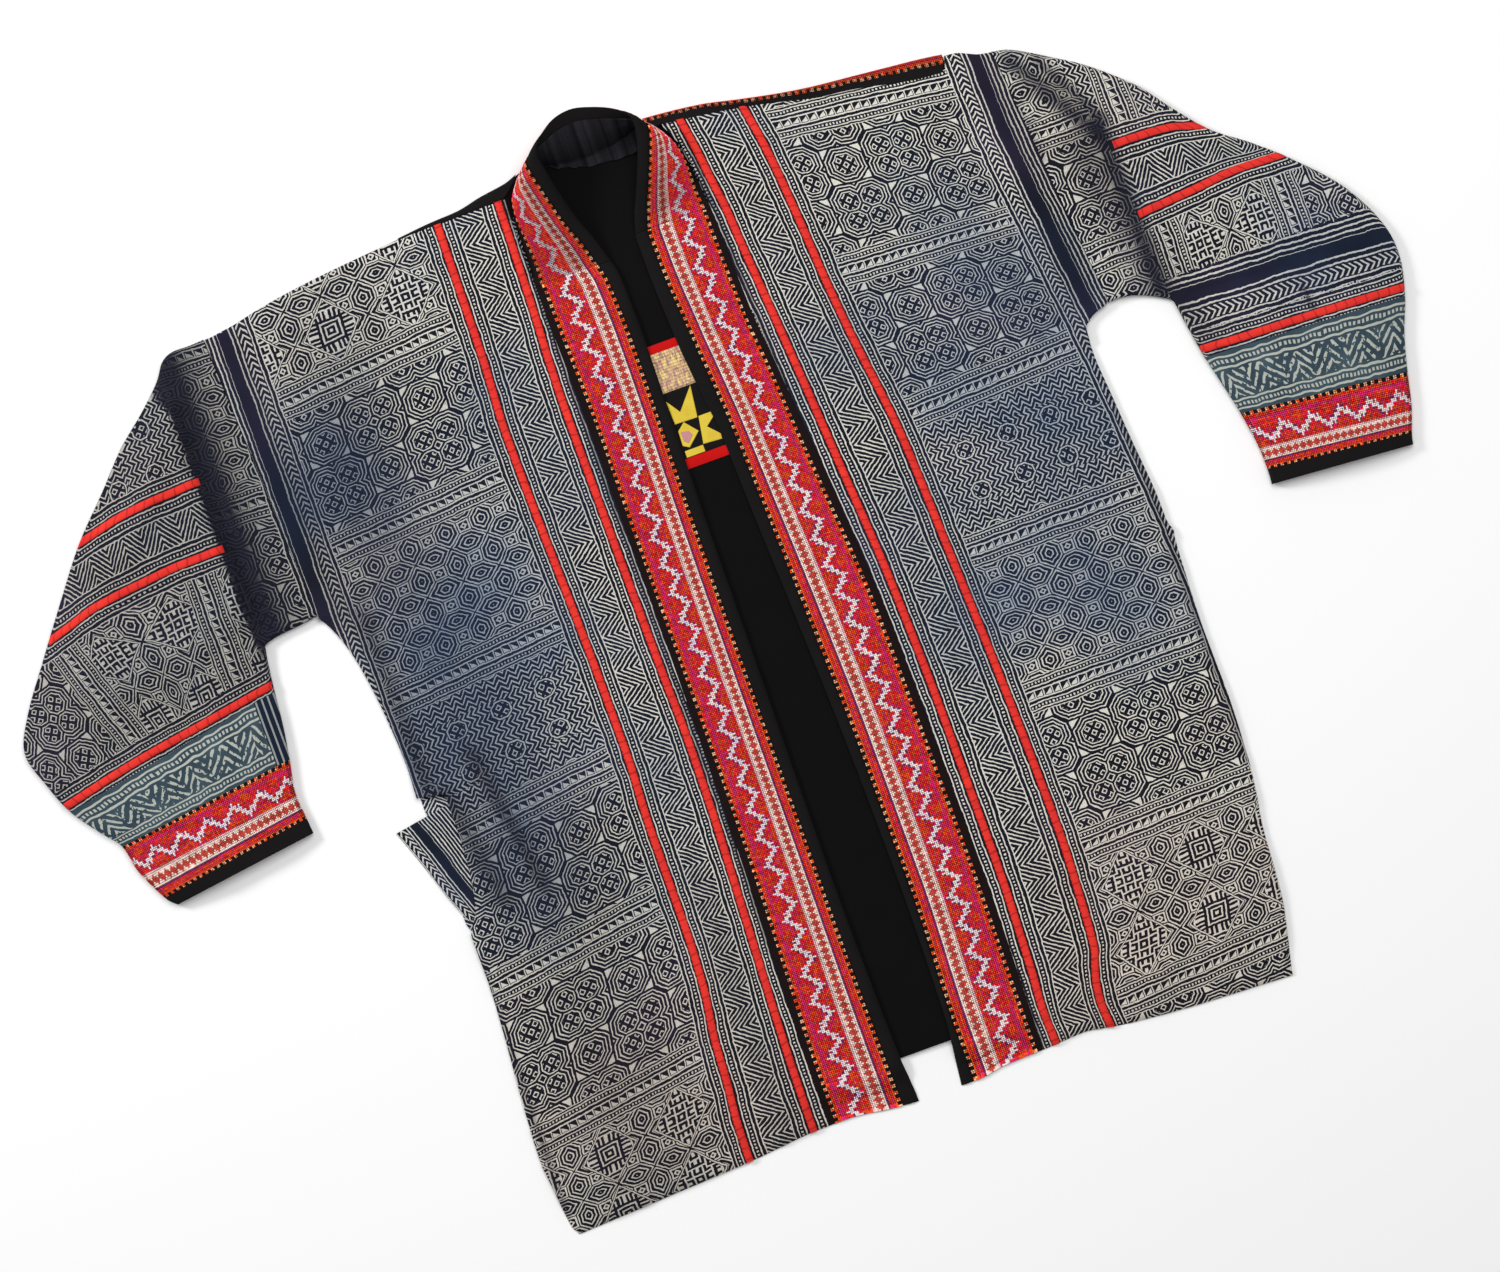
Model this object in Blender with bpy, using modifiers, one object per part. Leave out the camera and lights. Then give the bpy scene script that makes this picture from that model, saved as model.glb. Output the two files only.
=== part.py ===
# Hmong embroidered jacket, laid out flat with its sleeves folded down.
# Batik fronts and sleeves with red strips, an embroidered band along the opening and round the
# neck, embroidered cuffs, a black lining with a small pieced patch, and a side pocket facing.
# Tables are in millimetres: X runs to the wearer's left, Y from hem to neck, Z up from the table.

from math import cos, pi, sin, sqrt

import bmesh
import bpy
import numpy as np
from mathutils import Vector
from mathutils.bvhtree import BVHTree

MM = 0.001
MIDDLE_X = 0.9          # middle of the laid out jacket in the tables' frame
MIDDLE_Y = 21.9

WALL = 1.5              # lined cloth
TRIM = 1.0              # folded strips and small pieces
SEAM = 0.3              # gap between neighbouring pieces
STRIP_HALF = 3.2        # half the width of a red strip
BINDING_WIDE = 9.5      # black binding along the neck
BACK_HEM_RISE = 34.0    # the back's hem lies this far above the fronts' hem
SHOULDER_BAND = 24.0    # embroidered band on the back, below the shoulder fold
FRONT_LOFT = 2.6        # air between the front and the back
LOFT_REACH = 26.0
LINING_TOP = WALL + SEAM + TRIM
ROLL = 2.9              # radius of the shoulder fold

# Lines down each front: rows of (y, x).
FRONT_LINES = {
    "right": {
        "edge": ((-345, -6), (-330, -7), (-318, -8), (-250, -9.5), (-200, -10), (0, -8),
                 (100, -7), (180, -5.2), (240, -4), (280, -5), (305, -12), (330, -20.5), (360, -28)),
        "inner": ((-345, -18), (-250, -18.5), (-150, -18), (0, -17), (100, -15.5), (180, -13.5),
                  (240, -12.5), (280, -14), (300, -20), (330, -30), (360, -37)),
        "outer": ((-345, -68), (-300, -67.8), (-240, -65.5), (-150, -62), (-60, -60.3), (100, -59.5),
                  (180, -58.4), (280, -60), (345, -60), (361, -58)),
        "seam": ((-346, -73), (-300, -72.5), (-240, -70.5), (-150, -67), (-60, -65), (180, -63.5),
                 (280, -64.5), (340, -65), (361, -64)),
        "strip_1": ((-345, -84.5), (-300, -83.5), (-260, -82), (-220, -80), (-180, -78), (-140, -76),
                    (-100, -74.3), (-40, -73.2), (0, -74), (200, -75), (240, -74), (280, -72),
                    (361, -69.5)),
        "strip_2": ((-346, -135), (-320, -134), (-290, -131), (-260, -129), (-220, -123.5),
                    (-180, -121.3), (-100, -120.5), (-40, -118), (0, -118), (200, -121),
                    (260, -118), (361, -116)),
        "side": ((-358, -268), (-350, -272), (-320, -275), (-300, -277), (-260, -275), (-200, -270),
                 (-160, -268), (-130, -268), (-119, -262), (-114, -259), (-90, -254), (-60, -251.5),
                 (-32, -251), (-27, -252), (-24, -271), (0, -270), (40, -272), (80, -277),
                 (100, -282), (115, -288), (126, -293.5), (200, -296), (340, -302)),
    },
    "left": {
        "edge": ((-351, 26.7), (-330, 29), (-318, 30.4), (-300, 32), (-200, 34), (-100, 33), (0, 30),
                 (100, 26), (150, 24.5), (180, 21), (225, 17), (280, 15), (300, 15), (320, 21),
                 (340, 30), (360, 37.5)),
        "inner": ((-351, 36.5), (-318, 36.3), (-200, 40.5), (-100, 40.5), (0, 38), (100, 35),
                  (150, 33.3), (190, 30.5), (225, 27.8), (280, 24.5), (300, 24.5), (320, 28.5),
                  (345, 38.5), (365, 46)),
        "outer": ((-348, 86.5), (-300, 87), (-200, 88.5), (-50, 88), (0, 87), (100, 80), (140, 77),
                  (190, 73.5), (225, 70.5), (280, 69.5), (330, 69), (350, 66.5), (370, 58)),
        "seam": ((-348, 90.5), (-300, 92), (-200, 94), (-50, 93.3), (0, 92), (100, 86), (140, 82),
                 (190, 78), (225, 75), (280, 73.6), (320, 72.3), (345, 70), (372, 60)),
        "strip_1": ((-346, 101), (-320, 100), (-290, 102), (-200, 105), (-100, 105), (0, 103),
                    (100, 97), (190, 91), (230, 88), (270, 85), (300, 83), (320, 80.5), (350, 77),
                    (372, 73.5)),
        "strip_2": ((-350, 142.5), (-330, 141), (-318, 142), (-302, 146), (-290, 150), (-250, 153),
                    (-200, 155), (-150, 154.5), (-80, 153), (0, 150), (100, 146), (190, 136),
                    (230, 132.5), (270, 130), (310, 127), (340, 123.5), (366, 119)),
        "side": ((-356, 278), (-330, 284), (-300, 290), (-250, 294), (-225, 298), (-200, 301),
                 (-150, 303), (-100, 302.5), (-60, 304), (-30, 306), (-27, 307), (-22, 304.5),
                 (0, 304), (50, 300), (80, 298), (110, 296), (130, 297), (137, 303), (143, 316.6),
                 (200, 311.8), (280, 305), (341, 300)),
    },
}

# Upper edge of each batik front, its hem, and the fold along the shoulder: rows of (x, y).
FRONT_TOP = {
    "right": ((-302, 339.5), (-290, 340), (-280, 342), (-260, 346.5), (-230, 351.5), (-200, 355),
              (-165, 358), (-150, 359.3), (-130, 360), (-60, 360.6)),
    "left": ((60, 373.5), (80, 370.5), (100, 368), (120, 364.8), (145, 359.5), (170, 353.5), (200, 349.5),
             (230, 343), (250, 340), (264.5, 339.5), (268, 349.5), (277, 348.5), (285, 345),
             (292, 342), (301, 340.5)),
}
FRONT_HEM = {
    "right": ((-278, -358), (-200, -354), (-130, -350), (-85, -346), (-60, -345.5), (-20, -350),
              (-5, -351)),
    "left": ((26, -351), (40, -351), (60, -348), (100, -346.5), (122, -345), (150, -349.5),
             (200, -354), (285, -358)),
}
SHOULDER = {
    "right": ((-302, 340), (-280, 342.5), (-260, 347), (-230, 352), (-200, 355.5), (-150, 360),
              (-120, 363), (-100, 364), (-80, 368), (-60, 371), (-48, 375.5), (-40, 378.5)),
    "left": ((40, 382), (60, 380.5), (90, 377), (120, 370.5), (150, 364.5), (170, 361.5),
             (220, 356.5), (266, 351.2), (302, 341)),
}
BAND_SHOWS = ((48, 1.5), (70, 1.8), (90, 3.2), (120, 2.4), (170, 4), (220, 6), (266, 7.2))

# Stations along each shoulder band, and the back's upper edge beside them: rows of (x, y).
BAND_STATIONS = {
    "right": (-264, -240, -210, -180, -150, -125, -100, -80, -60, -47.5),
    "left": (48.5, 60.5, 70.4, 76.8, 89, 104, 115.8, 122.2, 136, 150, 168, 186, 204, 222, 243, 263.2),
}
BACK_TOP_LEFT = ((300.4, 340), (285, 344), (271, 349))
BACK_NECK = ((42, 366), (30, 367), (3, 366.8), (-24, 366.5), (-41, 365))
BACK_TOP_RIGHT = ((-271, 343.5), (-301.6, 339))

# Soft folds: rows of (x, y) to (x, y), width, height.
FRONT_FOLDS = {
    "right": ((-262, -272, -198, -250, 16, 2.4), (-214, -6, -192, -112, 20, 2.8),
              (-148, 300, -172, 190, 24, 1.8), (-104, -190, -98, -352, 18, 2.0),
              (-178, -230, -186, -356, 20, 2.4), (-238, -300, -236, -360, 15, 2.2),
              (-100, 130, -106, -60, 18, 1.6), (-236, 250, -262, 140, 20, 2.2)),
    "left": ((196, -322, 274, -288, 16, 2.4), (216, 130, 244, -70, 22, 2.8),
             (124, -160, 121, -352, 18, 2.2), (178, -214, 170, -356, 19, 2.2),
             (236, -240, 246, -358, 18, 2.4), (232, 326, 208, 180, 24, 2.2),
             (286, 322, 296, 190, 14, 2.0), (120, 200, 128, 40, 18, 1.6)),
}
FRONT_ROWS = (0, 0.007, 0.022, 0.05, 0.09, 0.14, 0.19, 0.245, 0.3, 0.325, 0.395, 0.45, 0.466, 0.473,
              0.4785, 0.53, 0.59, 0.65, 0.685, 0.74, 0.79, 0.85, 0.905, 0.95, 0.978, 0.992, 1)
COLLAR_ROW = 0.905      # the bands end here and the collar goes on round the neck
# How far the front stands above the back, by distance from the opening edge: the lining and the
# patch lie beneath it there.
OPENING_RAISE = ((0, 2.9), (12, 2.9), (25, 2.3), (55, 1.6), (80, 0.6), (115, 0))

# Collar sections from the wearer's right front round the back: where the collar is sewn on, the
# point it curls towards, and its bound edge, each x, y, z.
COLLAR = (
    (-63.2, 310, 3.6, -44, 311, 11, -13.2, 311, 9),
    (-62.4, 328, 3.6, -49, 329, 20, -20, 329, 14),
    (-61.4, 345, 3.6, -54.5, 346, 28, -24.5, 345, 20),
    (-58.6, 357.6, 3.6, -55.4, 360, 33, -27.8, 359, 26),
    (-52.4, 366.2, 3.2, -51.8, 369, 36, -29.8, 370, 31),
    (-45.6, 371.6, 2.6, -46.2, 375, 37, -31, 379, 34),
    (-36, 375, 1.5, -39, 379, 35, -27.5, 387, 35),
    (-24, 372.5, 0.6, -26, 379, 31, -18.5, 395, 35.5),
    (-11, 370, 0.6, -12, 377, 28, -9, 399.6, 36),
    (3, 369.3, 0.6, 3, 376, 28, 3, 401, 36),
    (17, 370.5, 0.6, 17, 377, 28, 15, 398, 36),
    (30, 373.5, 0.6, 31, 380, 31, 28, 392.8, 35.5),
    (40, 376.5, 1.5, 43, 380.5, 35, 37.8, 386, 35),
    (48, 374, 2.6, 48.6, 378, 37, 41.3, 378, 33.5),
    (56, 368.6, 3.2, 55, 371.5, 36, 40.3, 369, 30),
    (62.4, 359.4, 3.6, 59.2, 361, 33, 37.2, 358, 26),
    (67.2, 346, 3.6, 60.4, 346, 28, 31.8, 344.5, 20),
    (69.6, 332, 3.6, 56, 332, 20, 25.8, 331, 14),
    (71.2, 318, 3.6, 50.5, 318, 11, 19.8, 318, 9),
)

COLLAR_SAMPLES = 25
COLLAR_COLUMNS = 8
COLLAR_TURNS = (17, 16, 15, 14, 13, 9, 8, 7, 6, 5)     # sections that get one more before them

# Sleeve stations from armhole to wrist: outer fold x, y, inner fold x, y, height of the top.
SLEEVES = {
    "right": (
        (-302.4, 340.0, -293.8, 125.2, 5.9), (-314, 339.3, -305, 123.2, 6.4),
        (-327, 339.2, -318, 122, 7.4), (-336, 334.5, -328.5, 120.5, 8.6),
        (-345, 322, -335.5, 118, 12.6), (-363, 305, -336.4, 115, 14),
        (-385, 286.5, -337, 112, 14.6), (-408, 262, -337.6, 109, 14.8),
        (-437, 232, -338, 106, 14.6), (-464, 197, -338.4, 103, 14.2),
        (-490, 162, -338.8, 100, 13.6), (-513, 130, -339.2, 97, 13),
        (-525, 104, -339.6, 94, 12.6), (-518, 77, -340, 90, 12.4),
        (-508.3, 53, -340.6, 84.5, 12.2), (-493, 31.5, -343.4, 59, 11.8),
        (-481.8, 17, -347.2, 35, 11.4), (-477, -4, -351.6, 12, 11.2),
        (-465.5, -28, -350.2, -9, 11), (-458.5, -35.6, -349.2, -20.6, 10.8),
    ),
    "left": (
        (301, 340.8, 318.6, 142.4, 5.9), (313, 338, 329, 142.4, 6.4),
        (327, 330.5, 338.5, 140.5, 7.4), (341, 321.8, 348, 136.8, 8.6),
        (355, 313, 357.5, 131.5, 10.4), (370, 301.5, 362.3, 128, 13.4),
        (392, 281, 363.6, 123, 14.6), (411, 256, 364.3, 118, 14.8),
        (430, 234, 364.9, 113, 14.6), (456, 214, 365.5, 108.5, 14.2),
        (483, 189, 366.2, 104, 13.6), (507, 161.5, 366.9, 99.5, 13),
        (523, 130, 367.7, 95, 12.6), (526.8, 103, 368.6, 90, 12.4),
        (520.6, 74, 370, 81.5, 12.2), (511, 49, 376, 56, 11.8),
        (503.6, 22, 380.6, 35, 11.4), (498, -2, 384.4, 10, 11.2),
        (491.6, -20, 385, -9.5, 11), (489.6, -28.4, 384.2, -20.6, 10.8),
    ),
}
SLEEVE_PARTS = (("sleeve", 0, 14), ("sleeve_stripe", 14, 16), ("cuff", 16, 18), ("cuff_facing", 18, 19))
SLEEVE_FOLDS = {
    "right": ((-348, 292, -402, 216, 12, 2.0), (-350, 152, -446, 118, 13, 2.0),
              (-416, 150, -496, 128, 13, 1.6), (-350, 66, -470, 42, 10, 1.2)),
    "left": ((312, 326, 352, 278, 9, 2.2), (322, 286, 350, 236, 9, 1.6),
             (372, 172, 452, 150, 13, 2.0), (396, 112, 500, 118, 12, 1.6),
             (380, 58, 500, 44, 10, 1.2)),
}
EDGE_ROLL = 3.4         # radius of the sleeve's folded edges
SLEEVE_DOME = 42.0      # how far in from its edges the sleeve goes on rising
# Red strips over each sleeve: the points of their centre lines, x, y.
SLEEVE_STRIPS = {
    "right": (((-346, 244), (-372, 242.5), (-400, 240), (-427, 234.5)),
              ((-343, 193), (-372, 192.5), (-400, 190), (-440, 185), (-465, 178)),
              ((-347, 88.5), (-390, 81), (-450, 71), (-501, 60))),
    "left": (((364, 247), (385, 246.5), (403, 245), (414, 242)),
             ((367, 194.5), (400, 197), (440, 200.5), (460, 200)),
             ((375, 87.5), (400, 86), (440, 84.5), (480, 82.5), (515, 80.5))),
}
STRIP_STEP = 6.5

# Lining behind the opening and the pieces sewn on it: left x, right x, lower y, upper y.
LINING = (-44, 62, -316, 352)
PATCH_PIECES = {
    "patch_trim_lower": (-9, 29, 133, 140.5),
    "patch_star": (-9, 28, 140.5, 190),
    "patch_brocade": (-8.5, 26, 190, 219.3),
    "patch_trim_upper": (-9, 25, 219.3, 225.5),
}
# Pocket facing that swings out at the wearer's right side: y, outer x, inner x.
POCKET_FACING = ((-118, -266.5, -258), (-96, -275, -246), (-70, -283.5, -240), (-52, -290, -238),
                 (-41.5, -294, -238))
POCKET_TOP_RISE = 9.5   # its upper edge climbs towards the body
BACK_EDGE_X = -269.5    # the back's side edge behind the pocket

COLOURS = {
    "batik": (0.075, 0.085, 0.12, 0.85), "black": (0.012, 0.012, 0.014, 0.9),
    "red": (0.78, 0.05, 0.03, 0.7), "embroidery": (0.55, 0.06, 0.09, 0.75),
    "indigo": (0.16, 0.23, 0.3, 0.85), "gold": (0.62, 0.47, 0.2, 0.5),
    "yellow": (0.75, 0.6, 0.06, 0.8),
}


def smooth(rows, at):
    # monotone cubic through the rows, held level past both ends
    rows = sorted(rows)
    x = np.array([row[0] for row in rows], float)
    y = np.array([row[1] for row in rows], float)
    step = np.diff(x)
    rate = np.diff(y) / step
    slope = np.zeros(len(x))
    slope[0] = rate[0]
    slope[-1] = rate[-1]
    for i in range(1, len(rate)):
        if rate[i - 1] * rate[i] > 0:
            slope[i] = 2 * rate[i - 1] * rate[i] / (rate[i - 1] + rate[i])
    at = min(max(at, x[0]), x[-1])
    i = min(max(int(np.searchsorted(x, at)) - 1, 0), len(step) - 1)
    t = (at - x[i]) / step[i]
    low = (1 + 2 * t) * (1 - t) ** 2 * y[i] + t * (1 - t) ** 2 * step[i] * slope[i]
    high = t * t * (3 - 2 * t) * y[i + 1] + t * t * (t - 1) * step[i] * slope[i + 1]
    return float(low + high)


def ramp(low, high, value):
    # smooth step from 0 at low to 1 at high
    t = min(max((value - low) / (high - low), 0.0), 1.0)
    return t * t * (3 - 2 * t)


def lerp(a, b, t):
    return a + (b - a) * t


def fold_height(folds, x, y):
    # sum of soft ridges that fade out towards their ends
    total = 0.0
    for ax, ay, bx, by, width, height in folds:
        dx, dy = bx - ax, by - ay
        length = sqrt(dx * dx + dy * dy)
        along = ((x - ax) * dx + (y - ay) * dy) / length
        across = ((x - ax) * dy - (y - ay) * dx) / length
        past = max(-along, along - length, 0.0)
        total += height * np.exp(-(across / width) ** 2 - (past / (1.6 * width)) ** 2)
    return float(total)


def front_line(side, name, y):
    return smooth(FRONT_LINES[side][name], y)


def front_floor(side, x, y):
    # height of the front's under face above the table
    opening = abs(x - front_line(side, "edge", y))
    to_top = smooth(SHOULDER[side], x) - y
    to_hem = y - smooth(FRONT_HEM[side], x)
    to_side = LOFT_REACH if y > 120 else abs(front_line(side, "side", y) - x)
    near = min(max(min(to_top, to_hem, to_side), 0.0) / LOFT_REACH, 1.0)
    fade = sqrt(near * (2 - near))
    on_back = ramp(BACK_HEM_RISE - 22, BACK_HEM_RISE - 3, to_hem)
    rest = 0.05 + on_back * (WALL + SEAM - 0.05 + smooth(OPENING_RAISE, opening))
    if side == "right":
        over_facing = ramp(-222, -236, x) * ramp(-170, -135, y) * ramp(-5, -26, y)
        rest += 1.6 * TRIM * over_facing
    return rest + fade * (FRONT_LOFT * ramp(0, 60, opening) + fold_height(FRONT_FOLDS[side], x, y))


def front_columns(side):
    # column rules: a line's name, or two names and a share, or a line and a shift
    sign = -1 if side == "right" else 1
    half = STRIP_HALF * sign
    shares = (0.16, 0.36, 0.56)
    body = [("seam", "seam", 0, SEAM / 2 * sign)]
    body += [("strip_1", "strip_1", 0, -half), ("strip_1", "strip_1", 0, half)]
    body += [("strip_1", "strip_2", share, 0) for share in (0.36, 0.64)]
    body += [("strip_2", "strip_2", 0, -half), ("strip_2", "strip_2", 0, half)]
    body += [("strip_2", "side", share, 0) for share in shares]
    body += [("side", "side", 0, -reach * sign) for reach in (35.5, 31.5, 14, 4, 0)]
    band = [("inner", "inner", 0, SEAM / 2 * sign)]
    band += [("inner", "outer", share, 0) for share in (0.25, 0.5, 0.75, 1)]
    band += [("seam", "seam", 0, -SEAM / 2 * sign)]
    binding = [("edge", "inner", 0, 0), ("edge", "inner", 0.2, 0), ("inner", "inner", 0, -SEAM / 2 * sign)]
    return {"front": body, "band": band, "binding": binding}


def front_point(side, rule, row):
    # plan position on a column at a share of the way from hem to shoulder
    first, second, share, shift = rule
    y = lerp(-350, 360, row)
    for _ in range(3):
        x = lerp(front_line(side, first, y), front_line(side, second, y), share) + shift
        y = lerp(smooth(FRONT_HEM[side], x), smooth(FRONT_TOP[side], x), row)
    return x, y


def thick_surface(name, verts, faces, material, collection):
    # an open surface in millimetres, given the wall's thickness on its inner side
    mesh = bpy.data.meshes.new(name)
    points = [((x - MIDDLE_X) * MM, (y - MIDDLE_Y) * MM, z * MM) for x, y, z in verts]
    mesh.from_pydata(points, [], faces)
    mesh.materials.append(material)
    mesh.shade_smooth()
    made = bpy.data.objects.new(name, mesh)
    collection.objects.link(made)
    wall = made.modifiers.new("wall", "SOLIDIFY")
    wall.thickness = WALL * MM
    wall.offset = -1
    wall.use_even_offset = False
    wall.use_rim = True
    return made


def grid_faces(rows, columns, closed=False, flip=False):
    # two triangles for each cell, always along the same diagonal, so that layers nest
    faces = []
    last = columns if closed else columns - 1
    for i in range(rows - 1):
        for j in range(last):
            k = (j + 1) % columns
            a, b, c, d = i * columns + j, i * columns + k, (i + 1) * columns + k, (i + 1) * columns + j
            faces += [(a, c, b), (a, d, c)] if flip else [(a, b, c), (a, c, d)]
    return faces


def closed_sheet(name, under, over, material, collection):
    # a closed wall between two grids of points
    rows, columns = len(under), len(under[0])
    count = rows * columns
    faces = grid_faces(rows, columns, flip=True)
    faces += [tuple(v + count for v in face) for face in grid_faces(rows, columns)]
    rim = [i * columns for i in range(rows)]
    rim += [(rows - 1) * columns + j for j in range(1, columns)]
    rim += [i * columns + columns - 1 for i in range(rows - 2, -1, -1)]
    rim += list(range(columns - 2, 0, -1))
    for a, b in zip(rim, rim[1:] + rim[:1]):
        faces.append((a, b, b + count, a + count))
    mesh = bpy.data.meshes.new(name)
    points = [point for line in under for point in line] + [point for line in over for point in line]
    mesh.from_pydata([((x - MIDDLE_X) * MM, (y - MIDDLE_Y) * MM, z * MM) for x, y, z in points], [], faces)
    mesh.materials.append(material)
    close_up(mesh)
    made = bpy.data.objects.new(name, mesh)
    collection.objects.link(made)
    return made


def sheet(name, grid, material, collection, thickness=WALL):
    # a grid of under-face points, thickened straight up so that neighbours keep their seam gap
    return closed_sheet(name, grid, lift(grid, thickness), material, collection)


def lift(grid, height):
    return [[(x, y, z + height) for x, y, z in line] for line in grid]


def close_up(mesh):
    # turn every face outwards
    work = bmesh.new()
    work.from_mesh(mesh)
    bmesh.ops.recalc_face_normals(work, faces=work.faces)
    work.to_mesh(mesh)
    work.free()
    mesh.set_sharp_from_angle(angle=0.7)


def front_grid(side, rules, rows):
    grid = []
    for row in rows:
        line = []
        for rule in rules:
            x, y = front_point(side, rule, row)
            line.append((x, y, front_floor(side, x, y)))
        grid.append(line)
    return grid


def build_front(side, materials, collection):
    columns = front_columns(side)
    lower = [row for row in FRONT_ROWS if row <= COLLAR_ROW]
    sheet("front_" + side, front_grid(side, columns["front"], FRONT_ROWS), materials["batik"], collection)
    sheet("band_" + side, front_grid(side, columns["band"], lower), materials["embroidery"], collection)
    sheet("binding_" + side, front_grid(side, columns["binding"], lower), materials["black"], collection)
    for number, first in ((1, 1), (2, 5)):
        strip = front_grid(side, columns["front"][first:first + 2], FRONT_ROWS)
        name = "front_strip_{}_{}".format(number, side)
        sheet(name, lift(strip, WALL + SEAM), materials["red"], collection, TRIM)


def build_back(materials, collection):
    # flat on the table, its outline from the hem up both sides to the shoulder bands and the neck
    outline = []
    for x in (-262, -200, -130, -85, -60, -8, 28, 60, 100, 122, 150, 200, 280):
        side = "right" if x < 10 else "left"
        outline.append((x, smooth(FRONT_HEM[side], x) + BACK_HEM_RISE))
    rows = (-290, -250, -200, -150, -110, -60, -24, 0, 40, 80, 100, 116, 127, 141, 150, 200, 280)
    for y in rows:
        outline.append((front_line("left", "side", y) - 0.2, y))
    beside = {}
    for side, stations in BAND_STATIONS.items():
        beside[side] = [(x, smooth(SHOULDER[side], x) - SHOULDER_BAND) for x in reversed(stations)]
    outline += list(BACK_TOP_LEFT) + beside["left"] + list(BACK_NECK) + beside["right"]
    outline += list(BACK_TOP_RIGHT)
    for y in reversed(rows):
        x = front_line("right", "side", y) + 0.2
        outline.append((BACK_EDGE_X + 1.0 if -125 < y < -20 else x, y))
    curve = bpy.data.curves.new("back_panel", "CURVE")
    curve.dimensions = "2D"
    curve.fill_mode = "BOTH"
    curve.extrude = WALL / 2 * MM
    curve.materials.append(materials["batik"])
    spline = curve.splines.new("POLY")
    spline.points.add(len(outline) - 1)
    for point, (x, y) in zip(spline.points, outline):
        point.co = ((x - MIDDLE_X) * MM, (y - MIDDLE_Y) * MM, 0, 1)
    spline.use_cyclic_u = True
    made = bpy.data.objects.new("back_panel", curve)
    made.location.z = WALL / 2 * MM
    collection.objects.link(made)
    weld = made.modifiers.new("weld", "WELD")
    weld.merge_threshold = 0.00001


def shoulder_profile(reach):
    # outward distance from the fold and height, from the under face round to the top
    profile = [(-reach, 0), (-reach / 2, 0)]
    profile += [(-ROLL + ROLL * sin(a), ROLL - ROLL * cos(a)) for a in np.linspace(0, pi, 6)]
    return profile


def build_shoulders(materials, collection):
    # wearer's right: the band lies beneath, up to the fold, and the black strip tapers out above it
    grid = []
    for x in BAND_STATIONS["right"]:
        fold = smooth(SHOULDER["right"], x)
        grid.append([(x, fold - SHOULDER_BAND + SEAM, 0), (x, fold - 12, 0), (x, fold - SEAM, 0)])
    sheet("shoulder_band_right", grid, materials["embroidery"], collection)
    grid = []
    for share in (0, 0.12, 0.3, 0.5, 0.7, 0.86, 1):
        line = []
        for across in (0, 0.3, 0.6, 0.85, 1):
            x = lerp(-146, lerp(-66.4, -50.5, across), share)
            low = smooth(FRONT_TOP["right"], min(x, -60.0)) + SEAM
            y = lerp(low, smooth(SHOULDER["right"], x) + 0.2, across)
            line.append((x, y, max(front_floor("right", x, y), WALL + SEAM)))
        grid.append(line)
    sheet("shoulder_strip_right", grid, materials["black"], collection)
    # wearer's left: the band rolls over the fold and shows above the black strip
    verts = []
    stations = BAND_STATIONS["left"]
    count = 0
    for x in stations:
        fold = smooth(SHOULDER["left"], x)
        profile = shoulder_profile(SHOULDER_BAND - SEAM)
        shows = max(smooth(BAND_SHOWS, x), ROLL + 0.3)
        profile.append((-shows, 2 * ROLL))
        count = len(profile)
        verts += [(x, fold + out, z) for out, z in profile]
    faces = grid_faces(len(stations), count)
    thick_surface("shoulder_band_left", verts, faces, materials["embroidery"], collection)
    grid = []
    edge = np.array([front_point("left", rule, 1) for rule in front_columns("left")["front"]])
    for x in stations:
        start = max(x, 62.0)
        low = float(np.interp(start, edge[:, 0], edge[:, 1])) + SEAM
        high = smooth(SHOULDER["left"], x) - max(smooth(BAND_SHOWS, x), ROLL + 0.3) - SEAM
        line = []
        for share in (0, 0.5, 1):
            across = lerp(start, max(x, 54.0), share)
            y = lerp(low, high, share)
            z = lerp(front_floor("left", across, y), 2 * ROLL - WALL, share)
            line.append((across, y, z))
        grid.append(line)
    grid[0] = [(lerp(62.4, 51, s), y, z) for s, (x, y, z) in zip((0, 0.5, 1), grid[0])]
    grid[1] = [(lerp(66, 60.5, s), y, z) for s, (x, y, z) in zip((0, 0.5, 1), grid[1])]
    sheet("shoulder_strip_left", grid, materials["black"], collection)


def collar_sections():
    # each section as points from the seam to the bound edge, with their lengths along it
    def bezier(a, b, c):
        return [(1 - t) ** 2 * a + 2 * t * (1 - t) * b + t * t * c for t in np.linspace(0, 1, 25)]

    sections = []
    for side, flat in (("right", True), (None, False), ("left", True)):
        if flat:
            columns = front_columns(side)
            rules = columns["binding"][:1] + columns["band"]
            line = []
            for rule in rules:
                x, y = front_point(side, rule, COLLAR_ROW)
                line.append(np.array((x, y + SEAM, front_floor(side, x, y))))
            sections.append(line[::-1])
        else:
            for row in COLLAR:
                row = np.array(row, float)
                sections.append(bezier(row[0:3], row[3:6], row[6:9]))
    return sections


def lengths(section):
    steps = np.linalg.norm(np.diff(section, axis=0), axis=1)
    return np.concatenate(([0.0], np.cumsum(steps)))


def at_lengths(section, steps, values):
    return np.stack([np.interp(values, steps, section[:, axis]) for axis in range(3)], axis=1)


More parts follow.
